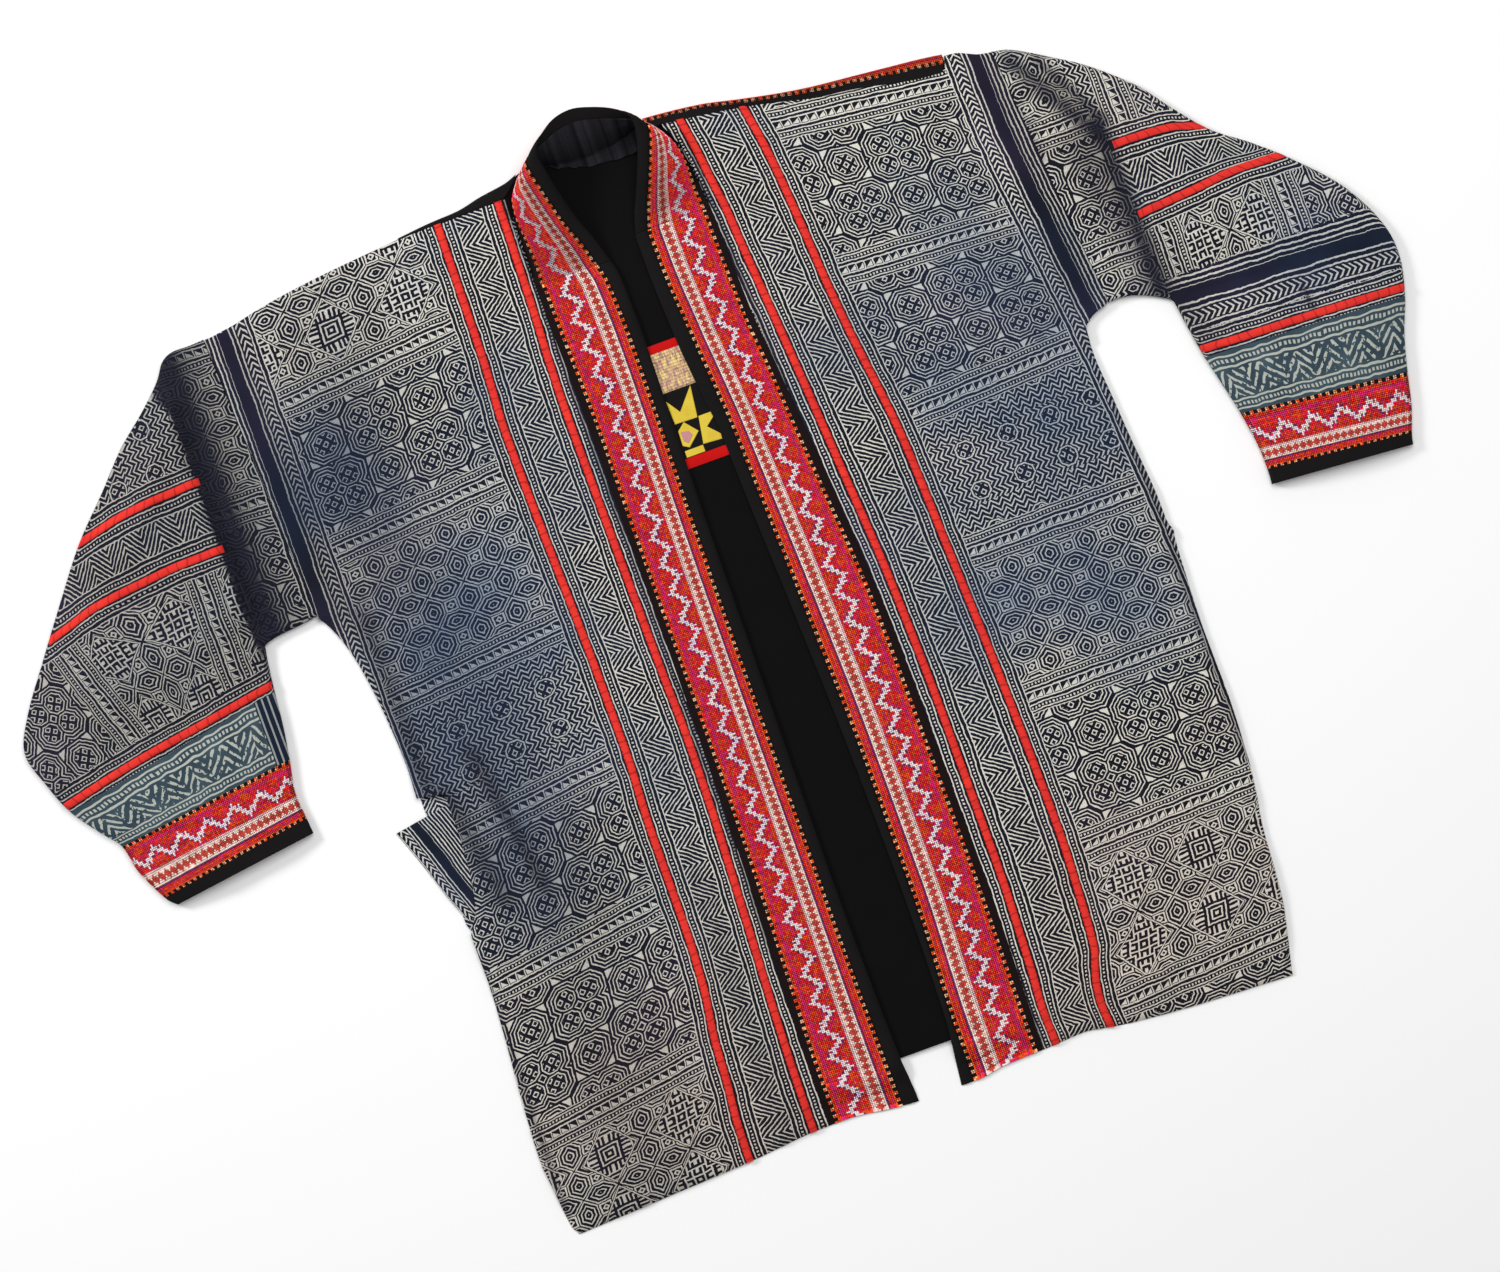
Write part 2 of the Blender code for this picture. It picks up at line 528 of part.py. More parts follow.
def collar_surface(distances, inset, shift):
    # the collar's points, moved along the surface's own normals by shift
    sections = [np.array(section) for section in collar_sections()]
    even = []
    for section in sections:
        steps = lengths(section)
        even.append(at_lengths(section, steps, np.linspace(0, steps[-1], COLLAR_SAMPLES)))
    even = np.array(even)
    for i in COLLAR_TURNS:
        middle = (9 * (even[i - 1] + even[i]) - even[i - 2] - even[i + 1]) / 16
        even = np.insert(even, i, middle, axis=0)
    normal = np.cross(np.gradient(even, axis=1), np.gradient(even, axis=0))
    normal /= np.linalg.norm(normal, axis=2, keepdims=True)
    normal[0] = normal[-1] = (0, 0, 1)
    grid = []
    for points, facing in zip(even, normal):
        steps = lengths(points)
        values = distances(steps[-1])
        grid.append(at_lengths(points, steps, values) + at_lengths(facing, steps, values) * shift)
    return grid[inset:len(grid) - inset]


def collar_solid(name, distances, inset, low, high, material, collection):
    under = collar_surface(distances, inset, low)
    over = collar_surface(distances, inset, high)
    return closed_sheet(name, under, over, material, collection)


def build_collar(materials, collection):
    def band(total):
        return np.linspace(0, total - BINDING_WIDE - 2 * SEAM, COLLAR_COLUMNS)

    def binding(total):
        return np.linspace(total - BINDING_WIDE, total, 3)

    def facing(total):
        return band(total)[1:]

    collar_solid("collar_band", band, 0, 0, WALL, materials["embroidery"], collection)
    collar_solid("binding_neck", binding, 0, -0.4, WALL, materials["black"], collection)
    collar_solid("collar_facing", facing, 5, -SEAM - TRIM, -SEAM, materials["black"], collection)


def sleeve_section(side, station):
    # one closed section, over the top from the outer fold and back along the table, and the
    # same section moved inwards by the wall, both in the upright plane of the station
    outer_x, outer_y, inner_x, inner_y, height = station
    width = sqrt((outer_x - inner_x) ** 2 + (outer_y - inner_y) ** 2)
    roll = min(EDGE_ROLL, height / 2)
    near = (0, 0.3 * roll, roll, 3 * roll)
    upper = list(near) + [width * share for share in (0.22, 0.36, 0.5, 0.64, 0.78)]
    upper += [width - reach for reach in near[::-1]]
    lower = [width - 0.3 * roll, width - roll, width * 0.7, width * 0.3, roll, 0.3 * roll]
    flat = []
    for above, distances in ((True, upper), (False, lower)):
        for distance in distances:
            x = lerp(outer_x, inner_x, distance / width)
            y = lerp(outer_y, inner_y, distance / width)
            edge = min(distance, width - distance)
            bulge = sqrt(max(roll ** 2 - (roll - min(edge, roll)) ** 2, 0.0))
            reach = min(max(edge - roll, 0.0) / SLEEVE_DOME, 1.0)
            rise = reach * (2 - reach)
            rise *= height - 2 * roll + fold_height(SLEEVE_FOLDS[side], x, y)
            flat.append((distance, roll + bulge + rise if above else roll - bulge))
    outside = np.array(flat)
    inside = inset_loop(outside, WALL)
    origin = np.array((outer_x, outer_y))
    along_way = (np.array((inner_x, inner_y)) - origin) / width

    def place(loop):
        return [tuple(origin + along_way * d) + (z,) for d, z in loop]

    return place(outside), place(inside)


def inset_loop(loop, depth):
    # moves a clockwise loop inwards, keeping its corners mitred
    before = loop - np.roll(loop, 1, axis=0)
    after = np.roll(loop, -1, axis=0) - loop
    normals = []
    for edge in (before, after):
        edge = edge / np.linalg.norm(edge, axis=1, keepdims=True)
        normals.append(np.stack((edge[:, 1], -edge[:, 0]), axis=1))
    middle = normals[0] + normals[1]
    middle /= np.linalg.norm(middle, axis=1, keepdims=True)
    stretch = np.maximum(np.sum(middle * normals[0], axis=1), 0.7)
    return loop + middle * (depth / stretch)[:, None]


def tube(name, sections, material, collection):
    # a wall with an open way through, between outer and inner rings
    rings = [section[0] for section in sections] + [section[1] for section in sections]
    rows, columns = len(sections), len(rings[0])
    count = rows * columns
    faces = grid_faces(rows, columns, closed=True)
    faces += [tuple(v + count for v in face) for face in grid_faces(rows, columns, closed=True, flip=True)]
    for end in (0, (rows - 1) * columns):
        for j in range(columns):
            a, b = end + j, end + (j + 1) % columns
            faces.append((a, b, b + count, a + count))
    mesh = bpy.data.meshes.new(name)
    points = [((x - MIDDLE_X) * MM, (y - MIDDLE_Y) * MM, z * MM) for ring in rings for x, y, z in ring]
    mesh.from_pydata(points, [], faces)
    mesh.materials.append(material)
    close_up(mesh)
    made = bpy.data.objects.new(name, mesh)
    collection.objects.link(made)
    return made


def build_sleeve(side, materials, collection):
    finish = {"sleeve": "batik", "sleeve_stripe": "indigo", "cuff": "embroidery", "cuff_facing": "black"}
    for name, first, last in SLEEVE_PARTS:
        stations = [np.array(row, float) for row in SLEEVES[side][first:last + 1]]
        if first > 0:
            step = stations[1] - stations[0]
            nearest = min(np.linalg.norm(step[:2]), np.linalg.norm(step[2:4]))
            stations[0] = stations[0] + step * (SEAM / nearest)
        sections = [sleeve_section(side, station) for station in stations]
        tube("{}_{}".format(name, side), sections, materials[finish[name]], collection)


def build_sleeve_strips(side, materials, collection):
    # narrow strips laid on the finished sleeve
    bpy.context.view_layer.update()
    graph = bpy.context.evaluated_depsgraph_get()
    tree = BVHTree.FromObject(bpy.data.objects["sleeve_" + side], graph)

    def top(x, y):
        start = Vector(((x - MIDDLE_X) * MM, (y - MIDDLE_Y) * MM, 0.1))
        return tree.ray_cast(start, Vector((0, 0, -1)))[0].z / MM

    for number, points in enumerate(SLEEVE_STRIPS[side], 1):
        knots = np.array(points, float)
        steps = np.concatenate(([0], np.cumsum(np.linalg.norm(np.diff(knots, axis=0), axis=1))))
        count = int(round(steps[-1] / STRIP_STEP)) + 1
        grid = []
        for s in np.linspace(0, steps[-1], count):
            x, y = np.interp(s, steps, knots[:, 0]), np.interp(s, steps, knots[:, 1])
            line = []
            for offset in (-STRIP_HALF, 0, STRIP_HALF):
                near = [top(x + dx, y + offset + dy) for dx in (-1.5, 0, 1.5) for dy in (-1, 0, 1)]
                line.append((float(x), float(y) + offset, max(near) + SEAM))
            grid.append(line)
        sheet("sleeve_strip_{}_{}".format(number, side), grid, materials["red"], collection, TRIM)


def build_inside(materials, collection):
    left, right, low, high = LINING
    grid = []
    for y in (low, -200, -60, 60, 180, 280, 330, high):
        grid.append([(x, y, WALL + SEAM) for x in (left, -10, 25, right)])
    sheet("back_lining", grid, materials["black"], collection, TRIM)
    finish = {"trim": "red", "star": "yellow", "brocade": "gold"}
    for name, (left, right, low, high) in PATCH_PIECES.items():
        z = LINING_TOP + SEAM
        grid = [[(left, y, z), (right, y, z)] for y in (low + SEAM / 2, high - SEAM / 2)]
        sheet(name, grid, materials[finish[name.split("_")[1]]], collection, TRIM)


def build_pocket(materials, collection):
    # it lies on the back as far as the back's edge, then sinks to the table
    grid = []
    for y, outer, inner in POCKET_FACING:
        knee = BACK_EDGE_X if outer < BACK_EDGE_X else lerp(outer, inner, 0.4)
        line = []
        for x in (outer, lerp(outer, knee, 0.5), knee, lerp(knee, inner, 0.5), inner):
            climb = POCKET_TOP_RISE * (x - outer) / (inner - outer) * ramp(-100, -41.5, y)
            z = WALL + SEAM - 1.6 * ramp(BACK_EDGE_X, BACK_EDGE_X - 18, x)
            line.append((x, y + climb, z))
        grid.append(line)
    sheet("pocket_facing", grid, materials["batik"], collection, TRIM)


def make_materials():
    made = {}
    for name, (red, green, blue, roughness) in COLOURS.items():
        material = bpy.data.materials.new(name)
        material.use_nodes = True
        shader = material.node_tree.nodes["Principled BSDF"]
        shader.inputs["Base Color"].default_value = (red, green, blue, 1)
        shader.inputs["Roughness"].default_value = roughness
        shader.inputs["Metallic"].default_value = 0.0
        made[name] = material
    return made


def build():
    for old in list(bpy.data.objects):
        bpy.data.objects.remove(old)
    collection = bpy.data.collections.new("embroidered_jacket")
    bpy.context.scene.collection.children.link(collection)
    materials = make_materials()
    build_back(materials, collection)
    build_inside(materials, collection)
    build_pocket(materials, collection)
    build_shoulders(materials, collection)
    build_collar(materials, collection)
    for side in ("right", "left"):
        build_front(side, materials, collection)
        build_sleeve(side, materials, collection)
        build_sleeve_strips(side, materials, collection)


build()
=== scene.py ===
from math import radians

import bmesh
import bpy
import numpy as np
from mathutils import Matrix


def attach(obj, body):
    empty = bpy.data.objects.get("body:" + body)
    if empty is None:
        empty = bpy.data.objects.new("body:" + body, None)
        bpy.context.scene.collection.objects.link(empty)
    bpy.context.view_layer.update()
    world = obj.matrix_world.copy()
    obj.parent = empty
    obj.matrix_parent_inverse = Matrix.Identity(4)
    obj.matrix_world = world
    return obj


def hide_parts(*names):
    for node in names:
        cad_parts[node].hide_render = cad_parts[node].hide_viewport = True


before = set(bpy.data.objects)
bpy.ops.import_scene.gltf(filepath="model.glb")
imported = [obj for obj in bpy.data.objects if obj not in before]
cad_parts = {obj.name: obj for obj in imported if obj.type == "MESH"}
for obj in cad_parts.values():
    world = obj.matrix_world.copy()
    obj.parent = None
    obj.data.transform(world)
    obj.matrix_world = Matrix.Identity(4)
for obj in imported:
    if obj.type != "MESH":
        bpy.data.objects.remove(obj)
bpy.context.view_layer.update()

# Everything below is laid out in millimetres: x to the wearer's left, y from hem to neck, z up.
layout = {
    "middle": (0.9, 21.9, 0.0),     # middle of the jacket in the tables
    "wall": 1.5, "trim": 1.0, "seam": 0.3,
    "sunk": 0.25,                   # how far the embroidered cloth lies below the plain
    "cell": 3.0,                    # size of one face on the cloth
    "stitch": 1.3,                  # counted stitches, one each way
    "stripHalf": 2.75, "stripColumns": 7, "backHem": 34.0, "shoulderBand": 24.0,
    "loft": 2.6, "loftReach": 26.0, "roll": 2.9,
}
noBar = 9999.0                      # place of a bar that isn't there


# Curves, grids and meshes.

def smooth(rows, at):
    # monotone curve through the rows, level past both ends
    rows = np.array(rows, float)
    x, y = rows[np.argsort(rows[:, 0])].T
    step = np.diff(x)
    rate = np.diff(y) / step
    slope = np.zeros(len(x))
    slope[0], slope[-1] = rate[0], rate[-1]
    same = rate[:-1] * rate[1:] > 0
    total = np.where(same, rate[:-1] + rate[1:], 1.0)
    slope[1:-1] = np.where(same, 2 * rate[:-1] * rate[1:] / total, 0.0)
    at = np.clip(at, x[0], x[-1])
    i = np.clip(np.searchsorted(x, at) - 1, 0, len(step) - 1)
    t = (at - x[i]) / step[i]
    low = (1 + 2 * t) * (1 - t) ** 2 * y[i] + t * (1 - t) ** 2 * step[i] * slope[i]
    return low + t * t * (3 - 2 * t) * y[i + 1] + t * t * (t - 1) * step[i] * slope[i + 1]


def ramp(low, high, value):
    t = np.clip((value - low) / (high - low), 0.0, 1.0)
    return t * t * (3 - 2 * t)


def mix(a, b, t):
    return a + (b - a) * t


def arch(t):
    # height of a soft roll, t from -1 to 1 across it
    return np.sqrt(np.clip(1 - t ** 2, 0, 1))


def stack(x, y, z):
    return np.stack([x, y, z], axis=-1)


def ridges(table, x, y):
    # soft ridges and troughs: from x, y to x, y, width, height
    total = np.zeros(np.broadcast(x, y).shape)
    for ax, ay, bx, by, width, height in table:
        length = np.hypot(bx - ax, by - ay)
        ahead = ((x - ax) * (bx - ax) + (y - ay) * (by - ay)) / length
        across = ((x - ax) * (by - ay) - (y - ay) * (bx - ax)) / length
        past = np.maximum(np.maximum(-ahead, ahead - length), 0.0)
        total = total + height * np.exp(-(across / width) ** 2 - (past / (1.6 * width)) ** 2)
    return total


def ripple(x, y, size, seed):
    # gentle unevenness, about -1 to 1
    dice = np.random.default_rng(seed)
    total = np.zeros(np.broadcast(x, y).shape)
    for _ in range(9):
        turn, phase = dice.uniform(0, 2 * np.pi, 2)
        wave = 2 * np.pi / (size * dice.uniform(0.7, 1.6))
        total = total + np.sin(wave * (x * np.cos(turn) + y * np.sin(turn)) + phase)
    return total / 3.6


def distances(points):
    # how far along a row each of its points lies
    return np.concatenate([[0], np.cumsum(np.linalg.norm(np.diff(points, axis=0), axis=1))])


def rowLength(points):
    return np.linalg.norm(np.diff(points, axis=0), axis=1).sum()


def along(points, values, carried=None):
    # the points of a row, or what they carry, at the given distances along it
    steps, carried = distances(points), points if carried is None else carried
    return np.stack([np.interp(values, steps, carried[:, axis]) for axis in range(3)], axis=1)


def evenly(points, count):
    return along(points, np.linspace(0, rowLength(points), count))


def spline(points, at):
    # smooth curve through rows of points, at fractional row numbers
    count = len(points)
    i = np.clip(np.floor(at).astype(int), 0, count - 2)
    t = (at - i).reshape((-1,) + (1,) * (points.ndim - 1))
    a, b = points[np.maximum(i - 1, 0)], points[i]
    c, d = points[i + 1], points[np.minimum(i + 2, count - 1)]
    return b + 0.5 * t * (c - a + t * (2 * a - 5 * b + 4 * c - d + t * (3 * (b - c) + d - a)))


def toMetres(points):
    return (points - np.array(layout["middle"])) * 0.001


def addObject(name, data):
    thing = bpy.data.objects.new(name, data)
    bpy.context.scene.collection.objects.link(thing)
    return thing


def evaluated(thing):
    # the finished mesh of a curve or of a piece with a modifier, which goes
    bpy.context.view_layer.update()
    mesh = bpy.data.meshes.new_from_object(thing.evaluated_get(bpy.context.evaluated_depsgraph_get()))
    bpy.data.objects.remove(thing)
    return mesh


def setVertices(mesh, points):
    mesh.vertices.add(len(points))
    mesh.vertices.foreach_set("co", toMetres(points).astype(np.float32).ravel())


def setMap(mesh, values):
    mesh.uv_layers.new(name="Cloth").data.foreach_set("uv", values.astype(np.float32).ravel())


def setMark(mesh, title, domain, values, kind="FLOAT", key="value"):
    mark = mesh.attributes.new(title, kind, domain)
    mark.data.foreach_set(key, np.asarray(values, np.float32).ravel())


def cornersOf(mesh):
    corners = np.empty(len(mesh.loops), np.int32)
    mesh.loops.foreach_get("vertex_index", corners)
    return corners


def mend(mesh, change):
    work = bmesh.new()
    work.from_mesh(mesh)
    change(work)
    work.to_mesh(mesh)
    work.free()


def gridFaces(rows, columns, closed=False):
    i, j = np.meshgrid(np.arange(rows - 1), np.arange(columns if closed else columns - 1), indexing="ij")
    k = (j + 1) % columns
    faces = np.stack([i * columns + j, i * columns + k, (i + 1) * columns + k, (i + 1) * columns + j], axis=-1)
    return faces.reshape(-1, 4)


def newPiece(name, over, under, edge, cloth, closed=False, flip=False):
    # a thin wall between two grids of points, its under faces in the last cloth
    rows, columns = over.shape[:2]
    top = gridFaces(rows, columns, closed)
    faces = np.concatenate([top, top[:, ::-1] + rows * columns, edge])
    if flip:
        faces = faces[:, ::-1]
    side = np.zeros(len(faces))
    side[len(top):2 * len(top)] = len(cloth) - 1
    mesh = bpy.data.meshes.new(name)
    setVertices(mesh, np.concatenate([over.reshape(-1, 3), under.reshape(-1, 3)]))
    mesh.loops.add(faces.size)
    mesh.loops.foreach_set("vertex_index", faces.ravel().astype(np.int32))
    mesh.polygons.add(len(faces))
    mesh.polygons.foreach_set("loop_start", np.arange(0, faces.size, 4, dtype=np.int32))
    for title in cloth:
        mesh.materials.append(cloths[title])
    mesh.polygons.foreach_set("material_index", side.astype(np.int32))
    mesh.update()
    mesh.validate()
    mesh.shade_smooth()
    mesh.set_sharp_from_angle(angle=0.9)
    return addObject(name, mesh)


def clothShell(name, under, over, *cloth):
    # a closed sheet: the rim runs round the first column, last row, last column and first row
    rows, columns = over.shape[:2]
    count = rows * columns
    rim = [i * columns for i in range(rows)] + [(rows - 1) * columns + j for j in range(1, columns)]
    rim += [i * columns + columns - 1 for i in range(rows - 2, -1, -1)] + list(range(columns - 2, 0, -1))
    a, b = np.array(rim), np.array(rim[1:] + rim[:1])
    edge = np.stack([a, b, b + count, a + count], axis=-1)
    flip = np.cross(over[0, 1] - over[0, 0], over[1, 0] - over[0, 0])[2] < 0
    return newPiece(name, over, under, edge, cloth, flip=flip)


def tubeShell(name, outside, wall, *cloth):
    # a closed wall with an open way through it
    rows, columns = outside.shape[:2]
    count = rows * columns
    normal = np.cross(np.roll(outside, -1, axis=1) - np.roll(outside, 1, axis=1), np.gradient(outside, axis=0))
    normal /= np.maximum(np.linalg.norm(normal, axis=2, keepdims=True), 1e-9)
    centre = outside.mean(axis=1, keepdims=True)
    normal *= np.sign((normal * (outside - centre)).sum(axis=2).mean())
    inside = outside - normal * wall
    inside[..., 2] = np.clip(inside[..., 2], 0.6, None)
    j = np.arange(columns)
    k, last = (j + 1) % columns, (rows - 1) * columns
    edge = np.concatenate([np.stack([j, j + count, k + count, k], axis=-1),
                           np.stack([last + j, last + k, last + k + count, last + j + count], axis=-1)])
    out = np.cross(outside[0, 1] - outside[0, 0], outside[1, 0] - outside[0, 0])
    flip = np.dot(out, outside[0, 0] - centre[0, 0]) < 0
    return newPiece(name, outside, inside, edge, cloth, closed=True, flip=flip)


def markCloth(piece, clothMap, grids=None, faceValues=None):
    # corner map and attributes: the grids hold one value for each point of the upper face
    mesh, flat = piece.data, clothMap.reshape(-1, 2)
    corners = cornersOf(mesh) % len(flat)
    setMap(mesh, flat[corners])
    for title, grid in (grids or {}).items():
        setMark(mesh, title, "POINT", np.tile(grid.ravel(), 2))
    if faceValues:
        for title, values in faceValues(flat[corners.reshape(-1, 4)].mean(axis=1)).items():
            setMark(mesh, title, "FACE", values)


def rolledEdge(grid, edges, reach=2.2, depth=0.8):
    # round off the upper face towards the chosen edges: hem, top, first and last column
    drop = np.zeros(grid.shape[:2])
    for edge in edges:
        line = {"hem": grid[:1], "top": grid[-1:], "first": grid[:, :1], "last": grid[:, -1:]}[edge]
        gap = np.hypot(grid[..., 0] - line[..., 0], grid[..., 1] - line[..., 1])
        drop = np.maximum(drop, depth * np.clip(1 - gap / reach, 0, 1) ** 2)
    grid[..., 2] -= drop
    return grid


def settle(piece, node=None, slot="batik_cloth"):
    # every piece rides on the one body and stands for its CAD node
    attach(piece, "root")
    if node:
        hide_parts(node)
    return piece


# Shader maths.

class Field:
    # a socket that can be used in sums
    def __init__(self, graph, socket):
        self.graph, self.socket = graph, socket

    def do(self, operation, *others):
        return self.graph.add("Math", {"operation": operation}, dict(enumerate((self,) + others)))

    def __add__(self, other): return self.do("ADD", other)
    def __radd__(self, other): return self.do("ADD", other)
    def __sub__(self, other): return self.do("SUBTRACT", other)
    def __rsub__(self, other): return self.graph.add("Math", {"operation": "SUBTRACT"}, {0: other, 1: self})
    def __mul__(self, other): return self.do("MULTIPLY", other)
    def __rmul__(self, other): return self.do("MULTIPLY", other)
    def __truediv__(self, other): return self.do("DIVIDE", other)
    def __lt__(self, other): return self.do("LESS_THAN", other)
    def __gt__(self, other): return self.do("GREATER_THAN", other)
    def __abs__(self): return self.do("ABSOLUTE")
    def atLeast(self, other): return self.do("MAXIMUM", other)
    def atMost(self, other): return self.do("MINIMUM", other)
    def clamp(self, high=1.0): return self.atLeast(0.0).atMost(high)
    def frac(self): return self.do("FRACT")
    def floor(self): return self.do("FLOOR")


class Graph:
    # one material's nodes
    def __init__(self, name):
        self.material = bpy.data.materials.new(name)
        self.material.use_nodes = True
        self.tree = self.material.node_tree
        self.shader = self.tree.nodes["Principled BSDF"]

    def put(self, socket, value):
        if isinstance(value, Field):
            self.tree.links.new(value.socket, socket)
        else:
            socket.default_value = value

    def add(self, kind, settings=None, values=None, output=0):
        node = self.tree.nodes.new("ShaderNode" + kind)
        for key, value in (settings or {}).items():
            setattr(node, key, value)
        for key, value in (values or {}).items():
            self.put(node.inputs[key], value)
        return Field(self, node.outputs[output])

    def clothMap(self):
        return self.add("UVMap", {"uv_map": "Cloth"})

    def place(self):
        return self.add("TexCoord", output=3)

    def mark(self, name, output=2):
        return self.add("Attribute", {"attribute_name": name}, output=output)

    def noise(self, place, scale, detail, kind="3D", output=0):
        values = {"Vector": place, "Scale": scale, "Detail": detail}
        return self.add("TexNoise", {"noise_dimensions": kind}, values, output)

    def flatNoise(self, place, scale, detail, output=0):
        return self.noise(place, scale, detail, "2D", output)

    def part(self, vector, axis):
        return self.add("SeparateXYZ", {}, {0: vector}, output=axis)

    def vector(self, operation, a, b):
        return self.add("VectorMath", {"operation": operation}, {0: a, 1: b})

    def scaled(self, vector, scale):
        return self.add("VectorMath", {"operation": "SCALE"}, {0: vector, "Scale": scale})

    def mixColour(self, factor, a, b):
        return self.add("Mix", {"data_type": "RGBA"}, {0: factor, 6: a, 7: b}, output=2)

    def finish(self, bump=None, **values):
        # bump: its strength, distance in metres and height
        if bump:
            values["Normal"] = self.add("Bump", {}, dict(zip(("Strength", "Distance", "Height"), bump)))
        for key, value in values.items():
            self.put(self.shader.inputs[key.replace("_", " ")], value)
        return self.material


def tone(red, green, blue):
    # screen colour, 0 to 255, as a linear one
    def linear(c):
        c = c / 255
        return c / 12.92 if c <= 0.04045 else ((c + 0.055) / 1.055) ** 2.4
    return (linear(red), linear(green), linear(blue), 1.0)


def zigzag(value):
    return abs(value.frac() - 0.5) * 4.0 - 1.0


def apart(value, pitch, size=None):
    # distance from the middle of each repeat, in the size given
    return abs((value / pitch).frac() - 0.5) * (size or pitch)


def near(value, middle, half):
    return abs(value - middle) < half


def lines(value, rows):
    # lines at the given places, each with half its width
    total = 0.0
    for middle, half in rows:
        total = near(value, middle, half) + total
    return total


def between(value, low, high):
    return (value > low) * (value < high)


def octagon(x, y):
    return x.atLeast(y).atLeast((x + y) * 0.7071)


# The batik cloth: the repeats of its four kinds of block across and along the cloth, its thin lines
# by place and half width, and where the strips, the blocks and the selvedge start.
batikLook = {
    "navy": tone(19, 22, 33), "fadedNavy": tone(27, 42, 66), "brownedNavy": tone(28, 23, 28),
    # fold: the colour of the painted shade that the deep mark mixes in
    "purple": tone(46, 38, 62), "fold": tone(23, 24, 38),
    "cream": tone(222, 219, 208), "fadedCream": tone(148, 162, 180), "brownedCream": tone(216, 201, 188),
    "wander": ((0.055, 1.8), (0.33, 0.9)),
    "lozenges": (28.0, 24.0), "discs": (38.0, 35.0), "zigzags": (34.0, 30.0), "crosses": (56.0, 48.0),
    "crossPitch": 4.2, "wavePitch": 8.4, "dotPitch": 2.6, "panePitch": 6.5,
    "barHalf": 12.6, "barLines": ((3.2, 0.5), (6.1, 0.48), (10.3, 0.45), (12.3, 0.3)),
    "besideHalf": 13.0, "besideLines": ((4.4, 0.46), (9.5, 0.46), (12.7, 0.5)),
    "selvedgeLines": ((0.4, 0.5), (3.6, 0.45), (13.4, 0.5), (16.8, 0.5)),
    "strips": 46.0, "blocks": 59.0, "selvedge": 191.5,
}
cottonShine = 0.12


